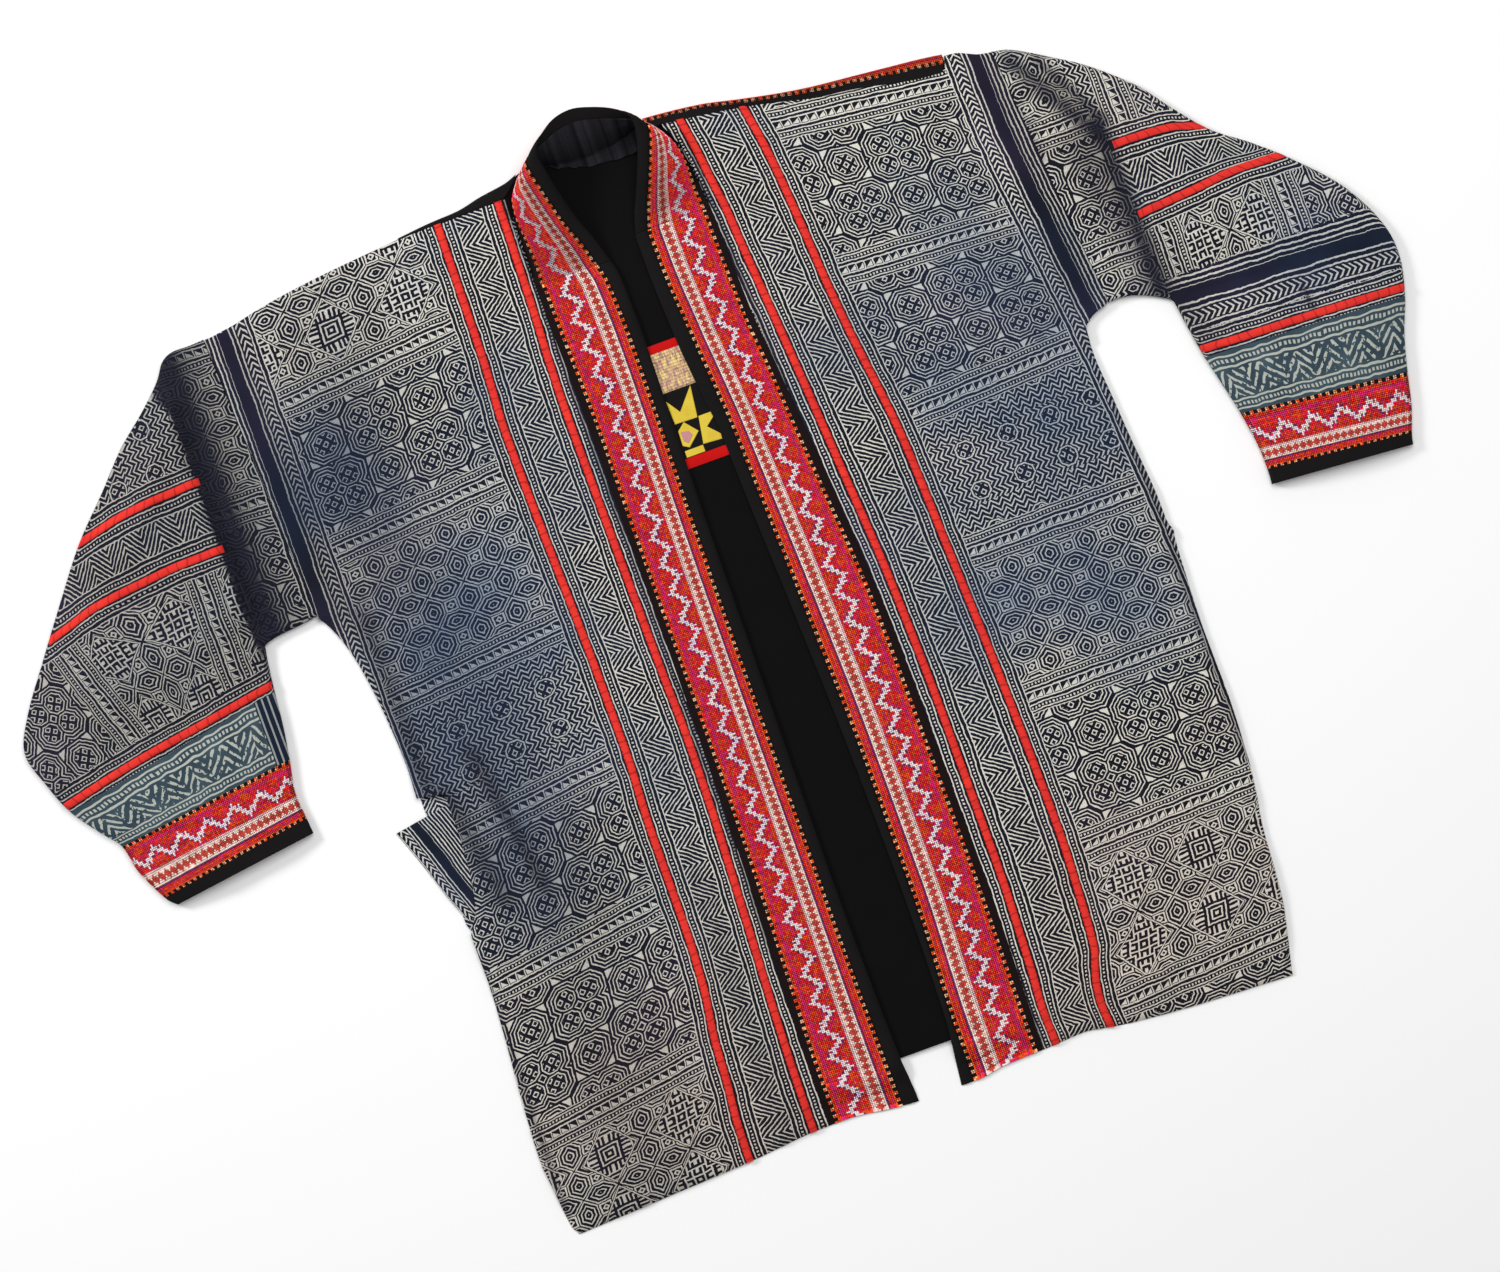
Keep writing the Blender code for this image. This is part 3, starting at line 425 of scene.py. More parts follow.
def batikCloth():
    look = batikLook
    g = Graph("batikCloth")
    cloth = g.clothMap()
    moved = cloth
    for scale, amount in look["wander"]:
        drift = g.vector("SUBTRACT", g.flatNoise(cloth, scale, 1.0, output=1), (0.5, 0.5, 0.5))
        moved = g.vector("ADD", g.scaled(drift, amount), moved)
    u, v = g.part(moved, 0), g.part(moved, 1)
    kind, barMiddle, fade = g.mark("blockKind"), g.mark("barMiddle"), g.mark("fade")
    w = v - g.mark("blockMiddle")
    duty = g.flatNoise(cloth, 0.12, 2.0) * 0.26 + 0.2       # width of the lines, as a share of their pitch
    rising, falling = (u + w) / look["crossPitch"], (u - w) / look["crossPitch"]
    cross = (rising.frac() < 0.26) * ((falling / 2.0).frac() < 0.62)
    cross = cross + (falling.frac() < 0.26) * ((rising / 2.0).frac() < 0.62)
    dotted = (v / look["dotPitch"]).frac() < 0.46

    # lozenges round small ringed squares
    wide, high = look["lozenges"]
    half = wide / 2
    x, y = apart(u, wide), apart(w, high, wide)
    flat = ((half - y) * 1.5556).atLeast(x + half - y)
    ring = flat.atMost(((half - x) * 1.5556).atLeast(half - x + y))
    square = ring > half
    spot = near(x.atLeast(y), 4.0, 0.6) + near(x + y, 2.0, 0.8)
    lozenges = ((ring / 4.2 + 0.2).frac() < duty) * (1.0 - square) + spot * square

    # rings of octagons, single and round groups of four crosses
    wide, high = look["discs"]
    x, y = apart(u, wide), apart(w, high, wide)
    fours = (((u / wide).floor() + (w / high).floor()) / 2.0).frac() > 0.25
    far, low = x.atLeast(y), x.atMost(y)
    single = octagon(far + (wide - far * 2.0) * fours, low) - 8.2
    group = far + (wide - far * 2.0) * (1.0 - fours)
    ring = single.atMost(octagon(abs(group - 8.6), abs(low - 8.6)) - 7.0)
    discs = ((ring / 2.6).frac() < duty) * between(ring, 0.0, 8.6) + cross * (ring < -0.8) + (ring > 8.6)

    # zigzags with small octagons
    wide, high = look["zigzags"]
    spot = octagon(apart(u, wide), apart(w, high, wide))
    spotted = spot < 8.2
    upright = abs(w) < 24.0
    waves = (u + zigzag(w / look["wavePitch"]) * 2.3) * upright
    waves = waves + (w + zigzag(u / look["wavePitch"]) * 2.3) * (1.0 - upright)
    zigzags = ((waves / 4.0).frac() < duty) * (1.0 - spotted)
    zigzags = zigzags + spotted * (near(spot, 6.9, 0.55) + cross * (spot < 5.4))

    # lozenges with a large group of crosses
    wide, high = look["crosses"]
    x, y = apart(u, wide), apart(w, high, wide)
    spot = x + y * 0.8
    inside = spot < 22.0
    far, low = x.atLeast(y) / 3.3, x.atMost(y) / 3.3
    cell = g.add("CombineXYZ", {}, {0: far.floor(), 1: low.floor(), 2: (u / wide).floor()})
    turned = g.add("TexWhiteNoise", {"noise_dimensions": "3D"}, {"Vector": cell}) > 0.5
    keyed = (far.frac() < 0.36) * turned + (low.frac() < 0.36) * (1.0 - turned)
    crosses = lozenges * (1.0 - inside) + inside * (keyed * (spot < 19.4) + near(spot, 20.6, 0.6))

    blocks = 0.0
    for number, block in enumerate((lozenges, discs, zigzags, crosses), 1):
        blocks = block * near(kind, float(number), 0.5) + blocks

    # bars of half-filled squares between rows of dots
    away = abs(v - barMiddle)
    pane = (u / look["panePitch"]).frac()
    filled = between(pane, 0.16, 0.84) * (away < 2.2) * ((pane - 0.5) * 5.0 > v - barMiddle)
    bar = filled + lines(away, look["barLines"]) + near(abs(pane - 0.5), 0.5, 0.06) * (away < 3.0)
    bar = bar + near(away, 8.3, 0.7) * ((u / look["dotPitch"]).frac() < 0.46)
    barred = away < look["barHalf"]
    blocks = blocks * (1.0 - barred) + bar * barred

    # rows beside the red strips, the zigzag between them and the selvedge
    gap = abs(u).atMost(abs(u - look["strips"]))
    beside = lines(gap, look["besideLines"]) + near(gap, 6.9, 0.7) * dotted
    chevrons = ((u + zigzag(v / 27.0) * 9.0) / 4.6).frac() < duty
    out = u - look["selvedge"]
    keys = between(out, 4.8, 11.8) * (((v + abs(out - 8.3) * 1.2) / 4.6).frac() < 0.36)
    stripes = keys + lines(out, look["selvedgeLines"]) + (out > 26.2) * ((out / 3.2).frac() < 0.32)
    nearStrip = gap < look["besideHalf"]
    middle = between(u, look["besideHalf"], look["strips"] - look["besideHalf"])
    edge = u > look["selvedge"]
    body = (1.0 - nearStrip) * (1.0 - middle) * (1.0 - edge)
    ink = beside * nearStrip + chevrons * middle + stripes * edge + blocks * body
    ink = ink.atMost(1.0) * (kind > -0.5)

    # wear: above 0 the blue has washed out, below 0 it has browned
    change = fade + (g.flatNoise(cloth, 0.016, 3.0) - 0.5) * 0.9
    worn, browned = change.clamp(), (0.0 - change).clamp()
    # painted shade: the deep mark darkens the cloth towards the fold colour, as shade in folds and creases
    unshaded = 1.0 - g.mark("deep")
    grain = g.flatNoise(cloth, 1.1, 2.0)
    dark = g.mixColour((g.flatNoise(cloth, 0.011, 2.0) * 3.0 - 1.5).clamp(0.8), look["navy"], look["purple"])
    dark = g.mixColour(browned, g.mixColour(worn, dark, look["fadedNavy"]), look["brownedNavy"])
    light = g.mixColour(worn, look["cream"], look["fadedCream"])
    light = g.mixColour(browned, light, look["brownedCream"])
    colour = g.mixColour(ink * (0.78 + grain * 0.3), dark, light)
    colour = g.mixColour(1.0 - unshaded * unshaded, colour, look["fold"])
    colour = g.scaled(colour, (grain - 0.5) * 0.5 + 1.0)
    threads = zigzag(g.part(cloth, 0) / 0.8) * zigzag(g.part(cloth, 1) / 0.8)
    bump = (0.5, 0.00035, ink * 0.35 + threads * 0.25 + grain * 0.3)
    return g.finish(bump, Base_Color=colour, Roughness=0.92 - ink * 0.06, Specular_IOR_Level=cottonShine)


def plainCloth(name, colour, second, scale=0.9, gatherShading=0.0, puckers=0.0):
    # woven cloth in one dye, a little uneven: gathers run down it as painted light and shade, puckers across a
    # strip with painted shade in their creases
    g = Graph(name)
    place = g.place()
    cloud, lint = g.noise(place, 28.0 * scale, 4.0), g.noise(place, 900.0 * scale, 2.0)
    x, y = g.part(place, 0), g.part(place, 1)
    height = zigzag(x / 0.0009) * zigzag(y / 0.0009) * 0.35 + lint * 0.8
    # painted highlights and shade of the gathers: light and dark streaks across x
    if gatherShading:
        cloud = g.add("TexNoise", {"noise_dimensions": "1D"}, {"W": x * gatherShading, "Scale": 1.0, "Detail": 1.0})
        cloud = cloud * 2.6 - 0.8
    colour = g.mixColour((cloud * 0.7 + lint * 0.5 - 0.1).clamp(), colour, second)
    # painted shade in the puckers' creases, with a bump
    if puckers:
        fold = ((g.part(g.clothMap(), 1) + cloud * 11.0) / puckers).frac() < 0.14
        colour = g.mixColour(fold * (lint * 0.7 + 0.1), colour, tone(120, 14, 24))
        height = height - fold * 1.6
    return g.finish((0.6, 0.0002, height), Base_Color=colour, Roughness=0.85, Specular_IOR_Level=cottonShine)


def stitchThread():
    # silk in the colour of each stitch
    g = Graph("silkThread")
    colour = g.scaled(g.mark("dye", output=0), g.noise(g.place(), 700.0, 1.0) * 0.6 + 0.7)
    return g.finish(Base_Color=colour, Roughness=0.6, Specular_IOR_Level=cottonShine)


fadedLook = {"dots": ((7.5, 1.0), (33.5, 1.0)), "lines": ((4.6, 0.6), (10.6, 0.6), (30.6, 0.6), (36.6, 0.6)),
             "striped": (-358.0, -300.0)}


def fadedBatik():
    # washed-out band above the cuffs: rows of dots, plain lines and cream strokes
    g = Graph("fadedBatik")
    cloth = g.clothMap()
    moved = g.vector("ADD", g.scaled(g.flatNoise(cloth, 0.09, 1.0, output=1), 2.6), cloth)
    u, v = g.part(moved, 0), g.part(moved, 1)
    dots = lines(v, fadedLook["dots"]) * ((u / 3.0).frac() < 0.55)
    lean = (u / 24.0).frac() > 0.5
    slant = (u + v * 1.1) + (u - v * 0.9 - u - v * 1.1) * lean
    strokes = ((slant / 6.4).frac() < g.flatNoise(cloth, 0.2, 2.0) * 0.5 + 0.14) * between(v, 12.4, 29.0)
    strokes = strokes * (g.flatNoise(cloth, 0.35, 1.0) > 0.42)
    ink = (dots + lines(v, fadedLook["lines"]) + strokes).atMost(1.0)
    grain = g.flatNoise(cloth, 1.3, 2.0)
    dark = g.mixColour(g.flatNoise(cloth, 0.05, 3.0), tone(30, 44, 56), tone(72, 92, 102))
    colour = g.mixColour(ink * (0.5 + grain * 0.5), dark, tone(196, 198, 186))
    # dark stripes at the inner end on the wearer's right
    x = g.part(g.place(), 0) * 1000.0
    stripes = near((x / 4.6).frac(), 0.5, 0.14) * (0.4 + grain * 0.5)
    stripes = g.mixColour(stripes, tone(24, 32, 50), tone(176, 182, 178))
    colour = g.mixColour(between(x, *fadedLook["striped"]), colour, stripes)
    bump = (0.5, 0.0003, ink * 0.3 + grain * 0.4)
    return g.finish(bump, Base_Color=colour, Roughness=0.9, Specular_IOR_Level=cottonShine)


def brocade():
    # gold weft streaked with faded pink, worn lozenges and thin ribs
    g = Graph("goldBrocade")
    place = g.place()
    x, y = g.part(place, 0) * 1000.0, g.part(place, 1) * 1000.0
    lozenge = abs(zigzag(x / 17.0)) + abs(zigzag(y / 15.0))
    figure = near(lozenge, 1.0, 0.22) + (lozenge < 0.3)
    rib = (y / 2.2).frac()
    streak = g.noise(g.add("CombineXYZ", {}, {0: x * 0.7, 1: y * 0.13}), 1.0, 2.0)
    colour = g.mixColour((streak * 4.0 - 1.5).clamp(), tone(240, 212, 124), tone(176, 116, 120))
    colour = g.mixColour(figure * (g.noise(place, 160.0, 2.0) > 0.5) * 0.5, colour, tone(134, 92, 116))
    fleck = g.noise(place, 420.0, 1.0) > 0.58
    colour = g.mixColour((rib > 0.6) * 0.35 + fleck * 0.35, colour, tone(84, 58, 40))
    return g.finish((0.5, 0.0003, rib * 0.4 + figure * 0.6), Base_Color=colour, Roughness=0.5)


cloths = {
    "batik": batikCloth(),
    "reverse": plainCloth("batikReverse", tone(52, 60, 78), tone(96, 104, 118)),
    "ground": plainCloth("stitchGround", tone(15, 9, 10), tone(28, 12, 14)),
    "faded": fadedBatik(),
    "black": plainCloth("blackCotton", tone(11, 10, 11), tone(24, 21, 21)),
    # the facing's gathers are painted as light and dark streaks
    "facing": plainCloth("facingCotton", tone(8, 8, 11), tone(44, 43, 50), scale=1.4, gatherShading=190.0),
    "lining": plainCloth("blackLining", tone(3, 3, 4), tone(8, 7, 9)),
    # the puckers' creases are painted darker, as shade
    "red": plainCloth("redStripCloth", tone(246, 64, 44), tone(200, 36, 44), scale=2.0, puckers=8.0),
    "patchRed": plainCloth("redPatchTrim", tone(214, 18, 16), tone(170, 8, 10), scale=2.0),
    "thread": stitchThread(),
    "gold": brocade(),
    "yellow": plainCloth("yellowPatch", tone(236, 214, 84), tone(196, 162, 34), scale=4.0),
    "pink": plainCloth("fadedPink", tone(206, 150, 150), tone(180, 120, 128)),
}
print("cloths ready")


# Lines down each front: rows of (y, x). Then its upper and lower edge and the shoulder: rows of (x, y).
frontLines = {
    "right": {
        "edge": (
            (-345, -6), (-330, -7), (-318, -8), (-250, -9.5), (-200, -10), (0, -8), (100, -7),
            (180, -5.2), (240, -4), (280, -5), (305, -12), (330, -20.5), (360, -28),
        ),
        "inner": (
            (-345, -18), (-250, -18.5), (-150, -18), (0, -17), (100, -15.5), (180, -13.5),
            (240, -12.5), (280, -14), (300, -20), (330, -30), (360, -37),
        ),
        "outer": (
            (-345, -68), (-300, -67.8), (-240, -65.5), (-150, -62), (-60, -60.3), (100, -59.5),
            (180, -58.4), (280, -60), (345, -60), (361, -58),
        ),
        "seam": (
            (-346, -73), (-300, -72.5), (-240, -70.5), (-150, -67), (-60, -65), (180, -63.5),
            (280, -64.5), (340, -65), (361, -64),
        ),
        "strip_1": (
            (-345, -84.5), (-300, -83.5), (-260, -82), (-220, -80), (-180, -78), (-140, -76),
            (-100, -74.3), (-40, -73.2), (0, -74), (200, -75), (240, -74), (280, -72), (361, -69.5),
        ),
        "strip_2": (
            (-346, -135), (-320, -134), (-290, -131), (-260, -129), (-220, -123.5), (-180, -121.3),
            (-100, -120.5), (-40, -118), (0, -118), (200, -121), (260, -118), (361, -116),
        ),
        "side": (
            (-358, -268), (-350, -272), (-320, -275), (-300, -277), (-260, -275), (-200, -270),
            (-160, -268), (-130, -268), (-119, -262), (-114, -259), (-90, -254), (-60, -251.5),
            (-32, -251), (-27, -252), (-24, -271), (0, -270), (40, -272), (80, -277), (100, -282),
            (115, -288), (126, -293.5), (200, -296), (340, -302),
        ),
    },
    "left": {
        "edge": (
            (-351, 26.7), (-330, 29), (-318, 30.4), (-300, 32), (-200, 34), (-100, 33), (0, 30),
            (100, 26), (150, 24.5), (180, 21), (225, 17), (280, 15), (300, 15), (320, 21), (340, 30),
            (360, 37.5),
        ),
        "inner": (
            (-351, 36.5), (-318, 36.3), (-200, 40.5), (-100, 40.5), (0, 38), (100, 35), (150, 33.3),
            (190, 30.5), (225, 27.8), (280, 24.5), (300, 24.5), (320, 28.5), (345, 38.5), (365, 46),
        ),
        "outer": (
            (-348, 86.5), (-300, 87), (-200, 88.5), (-50, 88), (0, 87), (100, 80), (140, 77),
            (190, 73.5), (225, 70.5), (280, 69.5), (330, 69), (350, 66.5), (370, 58),
        ),
        "seam": (
            (-348, 90.5), (-300, 92), (-200, 94), (-50, 93.3), (0, 92), (100, 86), (140, 82),
            (190, 78), (225, 75), (280, 73.6), (320, 72.3), (345, 70), (372, 60),
        ),
        "strip_1": (
            (-346, 101), (-320, 100), (-290, 102), (-200, 105), (-100, 105), (0, 103), (100, 97),
            (190, 91), (230, 88), (270, 85), (300, 83), (320, 80.5), (350, 77), (372, 73.5),
        ),
        "strip_2": (
            (-350, 142.5), (-330, 141), (-318, 142), (-302, 146), (-290, 150), (-250, 153),
            (-200, 155), (-150, 154.5), (-80, 153), (0, 150), (100, 146), (190, 136), (230, 132.5),
            (270, 130), (310, 127), (340, 123.5), (366, 119),
        ),
        "side": (
            (-356, 278), (-330, 284), (-300, 290), (-250, 294), (-225, 298), (-200, 301), (-150, 303),
            (-100, 302.5), (-60, 304), (-30, 306), (-27, 307), (-22, 304.5), (0, 304), (50, 300),
            (80, 298), (110, 296), (130, 297), (137, 303), (143, 318.2), (200, 313.2), (280, 306.1),
            (341, 300.6),
        ),
    },
}
frontTop = {
    "right": (
        (-302, 339.5), (-290, 340), (-280, 342), (-260, 346.5), (-230, 351.5), (-200, 355),
        (-165, 358), (-150, 359.3), (-130, 360), (-60, 360.6),
    ),
    "left": (
        (60, 373.5), (80, 370.5), (100, 368), (120, 364.8), (145, 359.5), (170, 353.5), (200, 349.5),
        (230, 343), (250, 340), (264.5, 339.5), (268, 349.5), (277, 348.5), (285, 345), (292, 342),
        (301, 340.5),
    ),
}
frontHem = {
    "right": (
        (-278, -358), (-200, -354), (-130, -350), (-85, -346), (-60, -345.5), (-20, -350), (-5, -351),
    ),
    "left": (
        (26, -351), (40, -351), (60, -348), (100, -346.5), (122, -345), (150, -349.5), (200, -354),
        (285, -358),
    ),
}
shoulder = {
    "right": (
        (-302, 340), (-280, 342.5), (-260, 347), (-230, 352), (-200, 355.5), (-150, 360), (-120, 363),
        (-100, 364), (-80, 368), (-60, 371), (-48, 375.5), (-40, 378.5),
    ),
    "left": (
        (40, 382), (60, 380.5), (90, 377), (120, 370.5), (150, 364.5), (170, 361.5), (220, 356.5),
        (266, 351.2), (302, 341),
    ),
}
# Folds, then creases of the fronts: x, y to x, y, width, height.
frontFolds = {
    "right": (
        (-262, -272, -198, -250, 16, 2.4), (-214, -6, -192, -112, 20, 2.8),
        (-148, 300, -172, 190, 24, 1.8), (-104, -190, -98, -352, 18, 2.0),
        (-178, -230, -186, -356, 20, 2.4), (-238, -300, -236, -360, 15, 2.2),
        (-100, 130, -106, -60, 18, 1.6), (-236, 250, -262, 140, 20, 2.2),
    ),
    "left": (
        (196, -322, 274, -288, 16, 2.4), (216, 130, 244, -70, 22, 2.8),
        (124, -160, 121, -352, 18, 2.2), (178, -214, 170, -356, 19, 2.2),
        (236, -240, 246, -358, 18, 2.4), (232, 326, 208, 180, 24, 2.2), (286, 322, 296, 190, 14, 2.0),
        (120, 200, 128, 40, 18, 1.6),
    ),
}
frontCreases = {
    "right": (
        (-272, -268, -204, -250, 3.0, -1.3), (-266, -284, -188, -262, 5, 0.8),
        (-246, -8, -206, -20, 3.5, -0.9), (-262, -60, -226, -96, 5, 0.9),
        (-250, -112, -206, -132, 4, -0.8), (-230, -28, -196, -74, 5, 0.7),
        (-292, 330, -276, 140, 3.5, -1.2), (-268, 300, -262, 160, 4, 0.7),
        (-200, 180, -150, 176, 4, -0.4), (-140, -210, -148, -340, 4, -0.7),
        (-160, 120, -156, 30, 5, 0.5), (-206, 60, -226, -10, 5, -0.6),
        (-215, -150, -245, -210, 5, 0.6), (-128, 340, -132, 262, 3, -0.6),
        (-96, 284, -112, 282, 2, -0.6), (-110, -330, -108, -350, 4, 0.8),
        (-222, -330, -216, -356, 5, 0.9), (-250, -236, -212, -230, 4, 0.6),
    ),
    "left": (
        (198, -326, 276, -292, 3.0, -1.3), (176, -318, 214, -330, 4, 0.8),
        (290, 330, 300, 170, 3.5, -1.3), (276, 344, 284, 250, 3.0, 0.8),
        (264, 338, 272, 150, 2.5, -0.8), (262, 60, 290, 20, 5, 0.6), (230, 240, 266, 210, 5, 0.6),
        (160, -300, 150, -350, 4, -0.9), (212, -230, 226, -290, 5, 0.6), (144, 340, 150, 280, 3, -0.6),
        (110, 200, 116, 120, 4, 0.5), (190, 20, 180, -70, 5, -0.5), (260, -120, 286, -170, 5, 0.6),
        (133, -330, 134, -346, 3, 0.8), (240, 120, 270, 96, 4, -0.5), (170, 330, 210, 322, 4, 0.5),
        (296, -40, 304, -26, 3, 1.0),
    ),
}
# How far the cloth is raised, by the distance from the opening.
openingRaise = ((0, 2.9), (12, 2.9), (25, 2.3), (55, 1.6), (80, 0.6), (115, 0))
collarRow = 0.905       # share of the front's height where the collar starts

# Batik blocks down each front: bars by their middles, then the kind of each block between them
# (1 lozenges, 2 octagons, 3 zigzags, 4 lozenges with crosses), and how far the bars drop outwards.
frontBlocks = {
    "right": {
        "bars": (287.5, 174.5, 60, -45, -151, -266),
        "kinds": (4, 2, 1, 3, 2, 2, 4),
        "drop": (
            (-345, 14), (-266, 20), (-151, 20), (-45, 16), (60, 12), (174, 10.5), (287, 11.5),
            (350, 6),
        ),
        "selvedge": ((-345, -281), (-300, -279), (-130, -268.5), (0, -266), (350, -266)),
    },
    "left": {
        "bars": (344, 229, 116, 7.5, -105, -219, -334),
        "kinds": (1, 2, 2, 3, 1, 2, 4, 2),
        "drop": ((-345, -9), (-220, -5), (-105, -1), (7, -1), (117, -7), (228, 8), (343, 15), (360, 15)),
        "selvedge": (
            (-345, 287), (-200, 300), (-100, 300), (0, 295.5), (50, 291), (100, 287), (200, 276),
            (300, 267), (350, 266),
        ),
    },
}
# Where the indigo has washed to a softer blue, or below 0 has browned: x, y, reach, amount.
fadedSpots = (
    (-205, 120, 70, 0.75), (-215, 30, 60, 0.8), (-200, -60, 55, 0.7), (-250, 224, 45, 0.8),
    (-150, 60, 50, 0.5), (-215, -130, 60, 0.4), (-262, 0, 40, 0.6), (-280, 200, 40, 0.4),
    (250, 190, 55, 0.5), (230, 80, 60, 0.5), (235, -20, 60, 0.55), (190, 140, 50, 0.45),
    (250, -70, 60, 0.5), (120, 60, 45, 0.35), (290, 60, 40, 0.6), (-100, 140, 40, 0.4),
    (150, -35, 55, 0.6), (-96, -60, 40, 0.3), (205, 240, 45, 0.25), (300, 230, 40, 0.2),
    (130, 180, 45, 0.5), (285, 150, 40, 0.6), (-120, 222, 45, 0.5), (470, 125, 60, 0.9),
    (335, 260, 50, -0.7), (-210, -280, 90, -0.8), (220, -275, 95, -0.8), (-110, -330, 50, -0.6),
    (130, -335, 50, -0.5),
)
# Painted shade in folds, creases, beside the armholes and over the wearer's right, and thin dark lines along
# seams and side edges: x, y to x, y, width, amount.
frontPaintedShade = (
    (-288, 336, -282, 130, 16, 0.2), (-220, 300, -230, -20, 60, 0.12), (-262, 110, -262, -20, 8, 0.25),
    (-222, -8, -206, -110, 6, 0.3), (-250, -34, -236, -110, 8, 0.3), (292, 330, 304, 160, 10, 0.22),
    (-64.5, 360, -70, -340, 1.6, 0.5), (74, 360, 92, -340, 1.6, 0.5), (300, 120, 300, -200, 3, 0.3),
    (-268, -150, -272, -340, 3, 0.3), (-190, -140, -214, -350, 56, 0.16),
    (-230, 240, -240, 160, 40, 0.1), (-100, -150, -104, -350, 12, 0.12),
)


def fadeAt(x, y):
    total = np.zeros(np.broadcast(x, y).shape)
    for spotX, spotY, reach, amount in fadedSpots:
        total = total + amount * np.exp(-((x - spotX) ** 2 + (y - spotY) ** 2) / reach ** 2)
    return np.clip(total, -1, 1) * 0.82


def frontLine(side, name, y):
    return smooth(frontLines[side][name], y)


def frontFloor(side, x, y):
    # height of the cloth's under face: it lies on the back and drops over the back's hem
    opening = np.abs(x - frontLine(side, "edge", y))
    toTop = smooth(shoulder[side], x) - y
    toHem = y - smooth(frontHem[side], x)
    toSide = np.where(y > 120, layout["loftReach"], np.abs(frontLine(side, "side", y) - x))
    close = np.clip(np.minimum(np.minimum(toTop, toHem), toSide) / layout["loftReach"], 0, 1)
    fade = np.sqrt(close * (2 - close))
    onBack = ramp(layout["backHem"] - 22, layout["backHem"] - 3, toHem)
    rest = 0.05 + onBack * (layout["wall"] + layout["seam"] - 0.05 + smooth(openingRaise, opening))
    if side == "right":
        # over the pocket's facing
        rest = rest + 1.6 * layout["trim"] * ramp(-222, -236, x) * ramp(-170, -135, y) * ramp(-5, -26, y)
    return rest + fade * (layout["loft"] * ramp(0, 60, opening) + ridges(frontFolds[side], x, y))


def frontPlan(side, pair, shares, rows, shift=0):
    # plan positions: each column lies between two lines, each row between hem and shoulder
    shares, rows = np.array(shares)[None, :], np.array(rows)[:, None]
    shift = np.array(shift) + 0 * shares
    y = mix(-350, 360, rows) + 0 * shares
    for _ in range(4):
        x = mix(frontLine(side, pair[0], y), frontLine(side, pair[1], y), shares) + shift
        y = mix(smooth(frontHem[side], x), smooth(frontTop[side], x), rows)
    return x, y


def frontRows(high=1.0):
    return np.linspace(0, high, int(720 * high / layout["cell"]))


def relief(side, x, y):
    # creases, puckers beside the strips and small unevenness on the upper face
    height = ridges(frontCreases[side], x, y)
    for name in ("strip_1", "strip_2", "seam"):
        gap = np.abs(x - frontLine(side, name, y))
        pucker = np.sin(y / 2.1 + 1.7 * ripple(x, y, 40, 5)) * ripple(x, y, 55, 8)
        height = height + 0.42 * pucker * np.exp(-((gap - 5) / 6.5) ** 2) - 0.35 * np.exp(-(gap / 4.5) ** 2)
    return height + 0.28 * ripple(x, y, 46, 11) + 0.16 * ripple(x, y, 17, 12)


def batikMap(side, sign, x, y):
    # u across the cloth from the first strip, v along it, so that the bars lie as they hang
    look, blocks = batikLook, frontBlocks[side]
    first = frontLine(side, "strip_1", y) * sign
    second = frontLine(side, "strip_2", y) * sign
    selvedge = smooth(blocks["selvedge"], y) * sign
    at = x * sign
    u = np.where(at < second, look["strips"] * (at - first) / (second - first),
                 mix(look["strips"], look["blocks"], (at - second) / 12.5))
    share = (at - second - 12.5) / (selvedge - second - 12.5)
    u = np.where(share > 0, mix(look["blocks"], look["selvedge"], share), u)
    u = np.where(share > 1, look["selvedge"] + at - selvedge, u)
    return np.stack([u, y + np.clip(share, 0, 1.2) * smooth(blocks["drop"], y)], axis=-1)


def blockValues(bars, kinds):
    # which block and which bar each face belongs to, by its v; the end blocks are 114 high
    bars = np.array(bars, float)
    ends = np.concatenate([[bars[0] + 114], bars, [bars[-1] - 114]])

    def values(middles):
        v = middles[:, 1]
        block = np.clip(np.sum(v[:, None] < bars[None, :], axis=1), 0, len(kinds) - 1)
        return {"blockKind": np.array(kinds, float)[block], "blockMiddle": (ends[block] + ends[block + 1]) / 2,
                "barMiddle": bars[np.argmin(np.abs(v[:, None] - bars[None, :]), axis=1)]}
    return values


# Columns of faces from the seam to the first strip, on to the second and on to the side.
frontParts = (("seam", "strip_1", 5), ("strip_1", "strip_2", 17), ("strip_2", "side", 56))


def makeFront(side, sign):
    plans = []
    for first, second, count in frontParts:
        shares = np.linspace(0, 1, count, endpoint=second == "side")
        shift = np.where(shares == 0, 0.15 * sign, 0.0) if first == "seam" else 0
        plans.append(frontPlan(side, (first, second), shares, frontRows(), shift))
    x, y = (np.concatenate(part, axis=1) for part in zip(*plans))
    base = frontFloor(side, x, y)
    over = stack(x, y, np.maximum(base + layout["wall"] + relief(side, x, y), base + 0.7))
    rolledEdge(over, ("hem", "last", "top"))
    piece = clothShell("frontCloth_" + side, stack(x, y, base), over, "batik", "reverse")
    # deep: painted shade in folds and creases, a little more where the cloth has faded
    deep = 0.12 * np.maximum(fadeAt(x, y), 0) + ridges(frontPaintedShade, x, y)
    markCloth(piece, batikMap(side, sign, x, y), {"fade": fadeAt(x, y), "deep": np.clip(deep, 0, 0.7)},
              blockValues(frontBlocks[side]["bars"], frontBlocks[side]["kinds"]))
    settle(piece, "front_" + side)


def bandTop(side, x, y):
    # upper face of the cloth under the counted stitches
    return stack(x, y, frontFloor(side, x, y) + layout["wall"] - layout["sunk"] + 0.5 * relief(side, x, y))


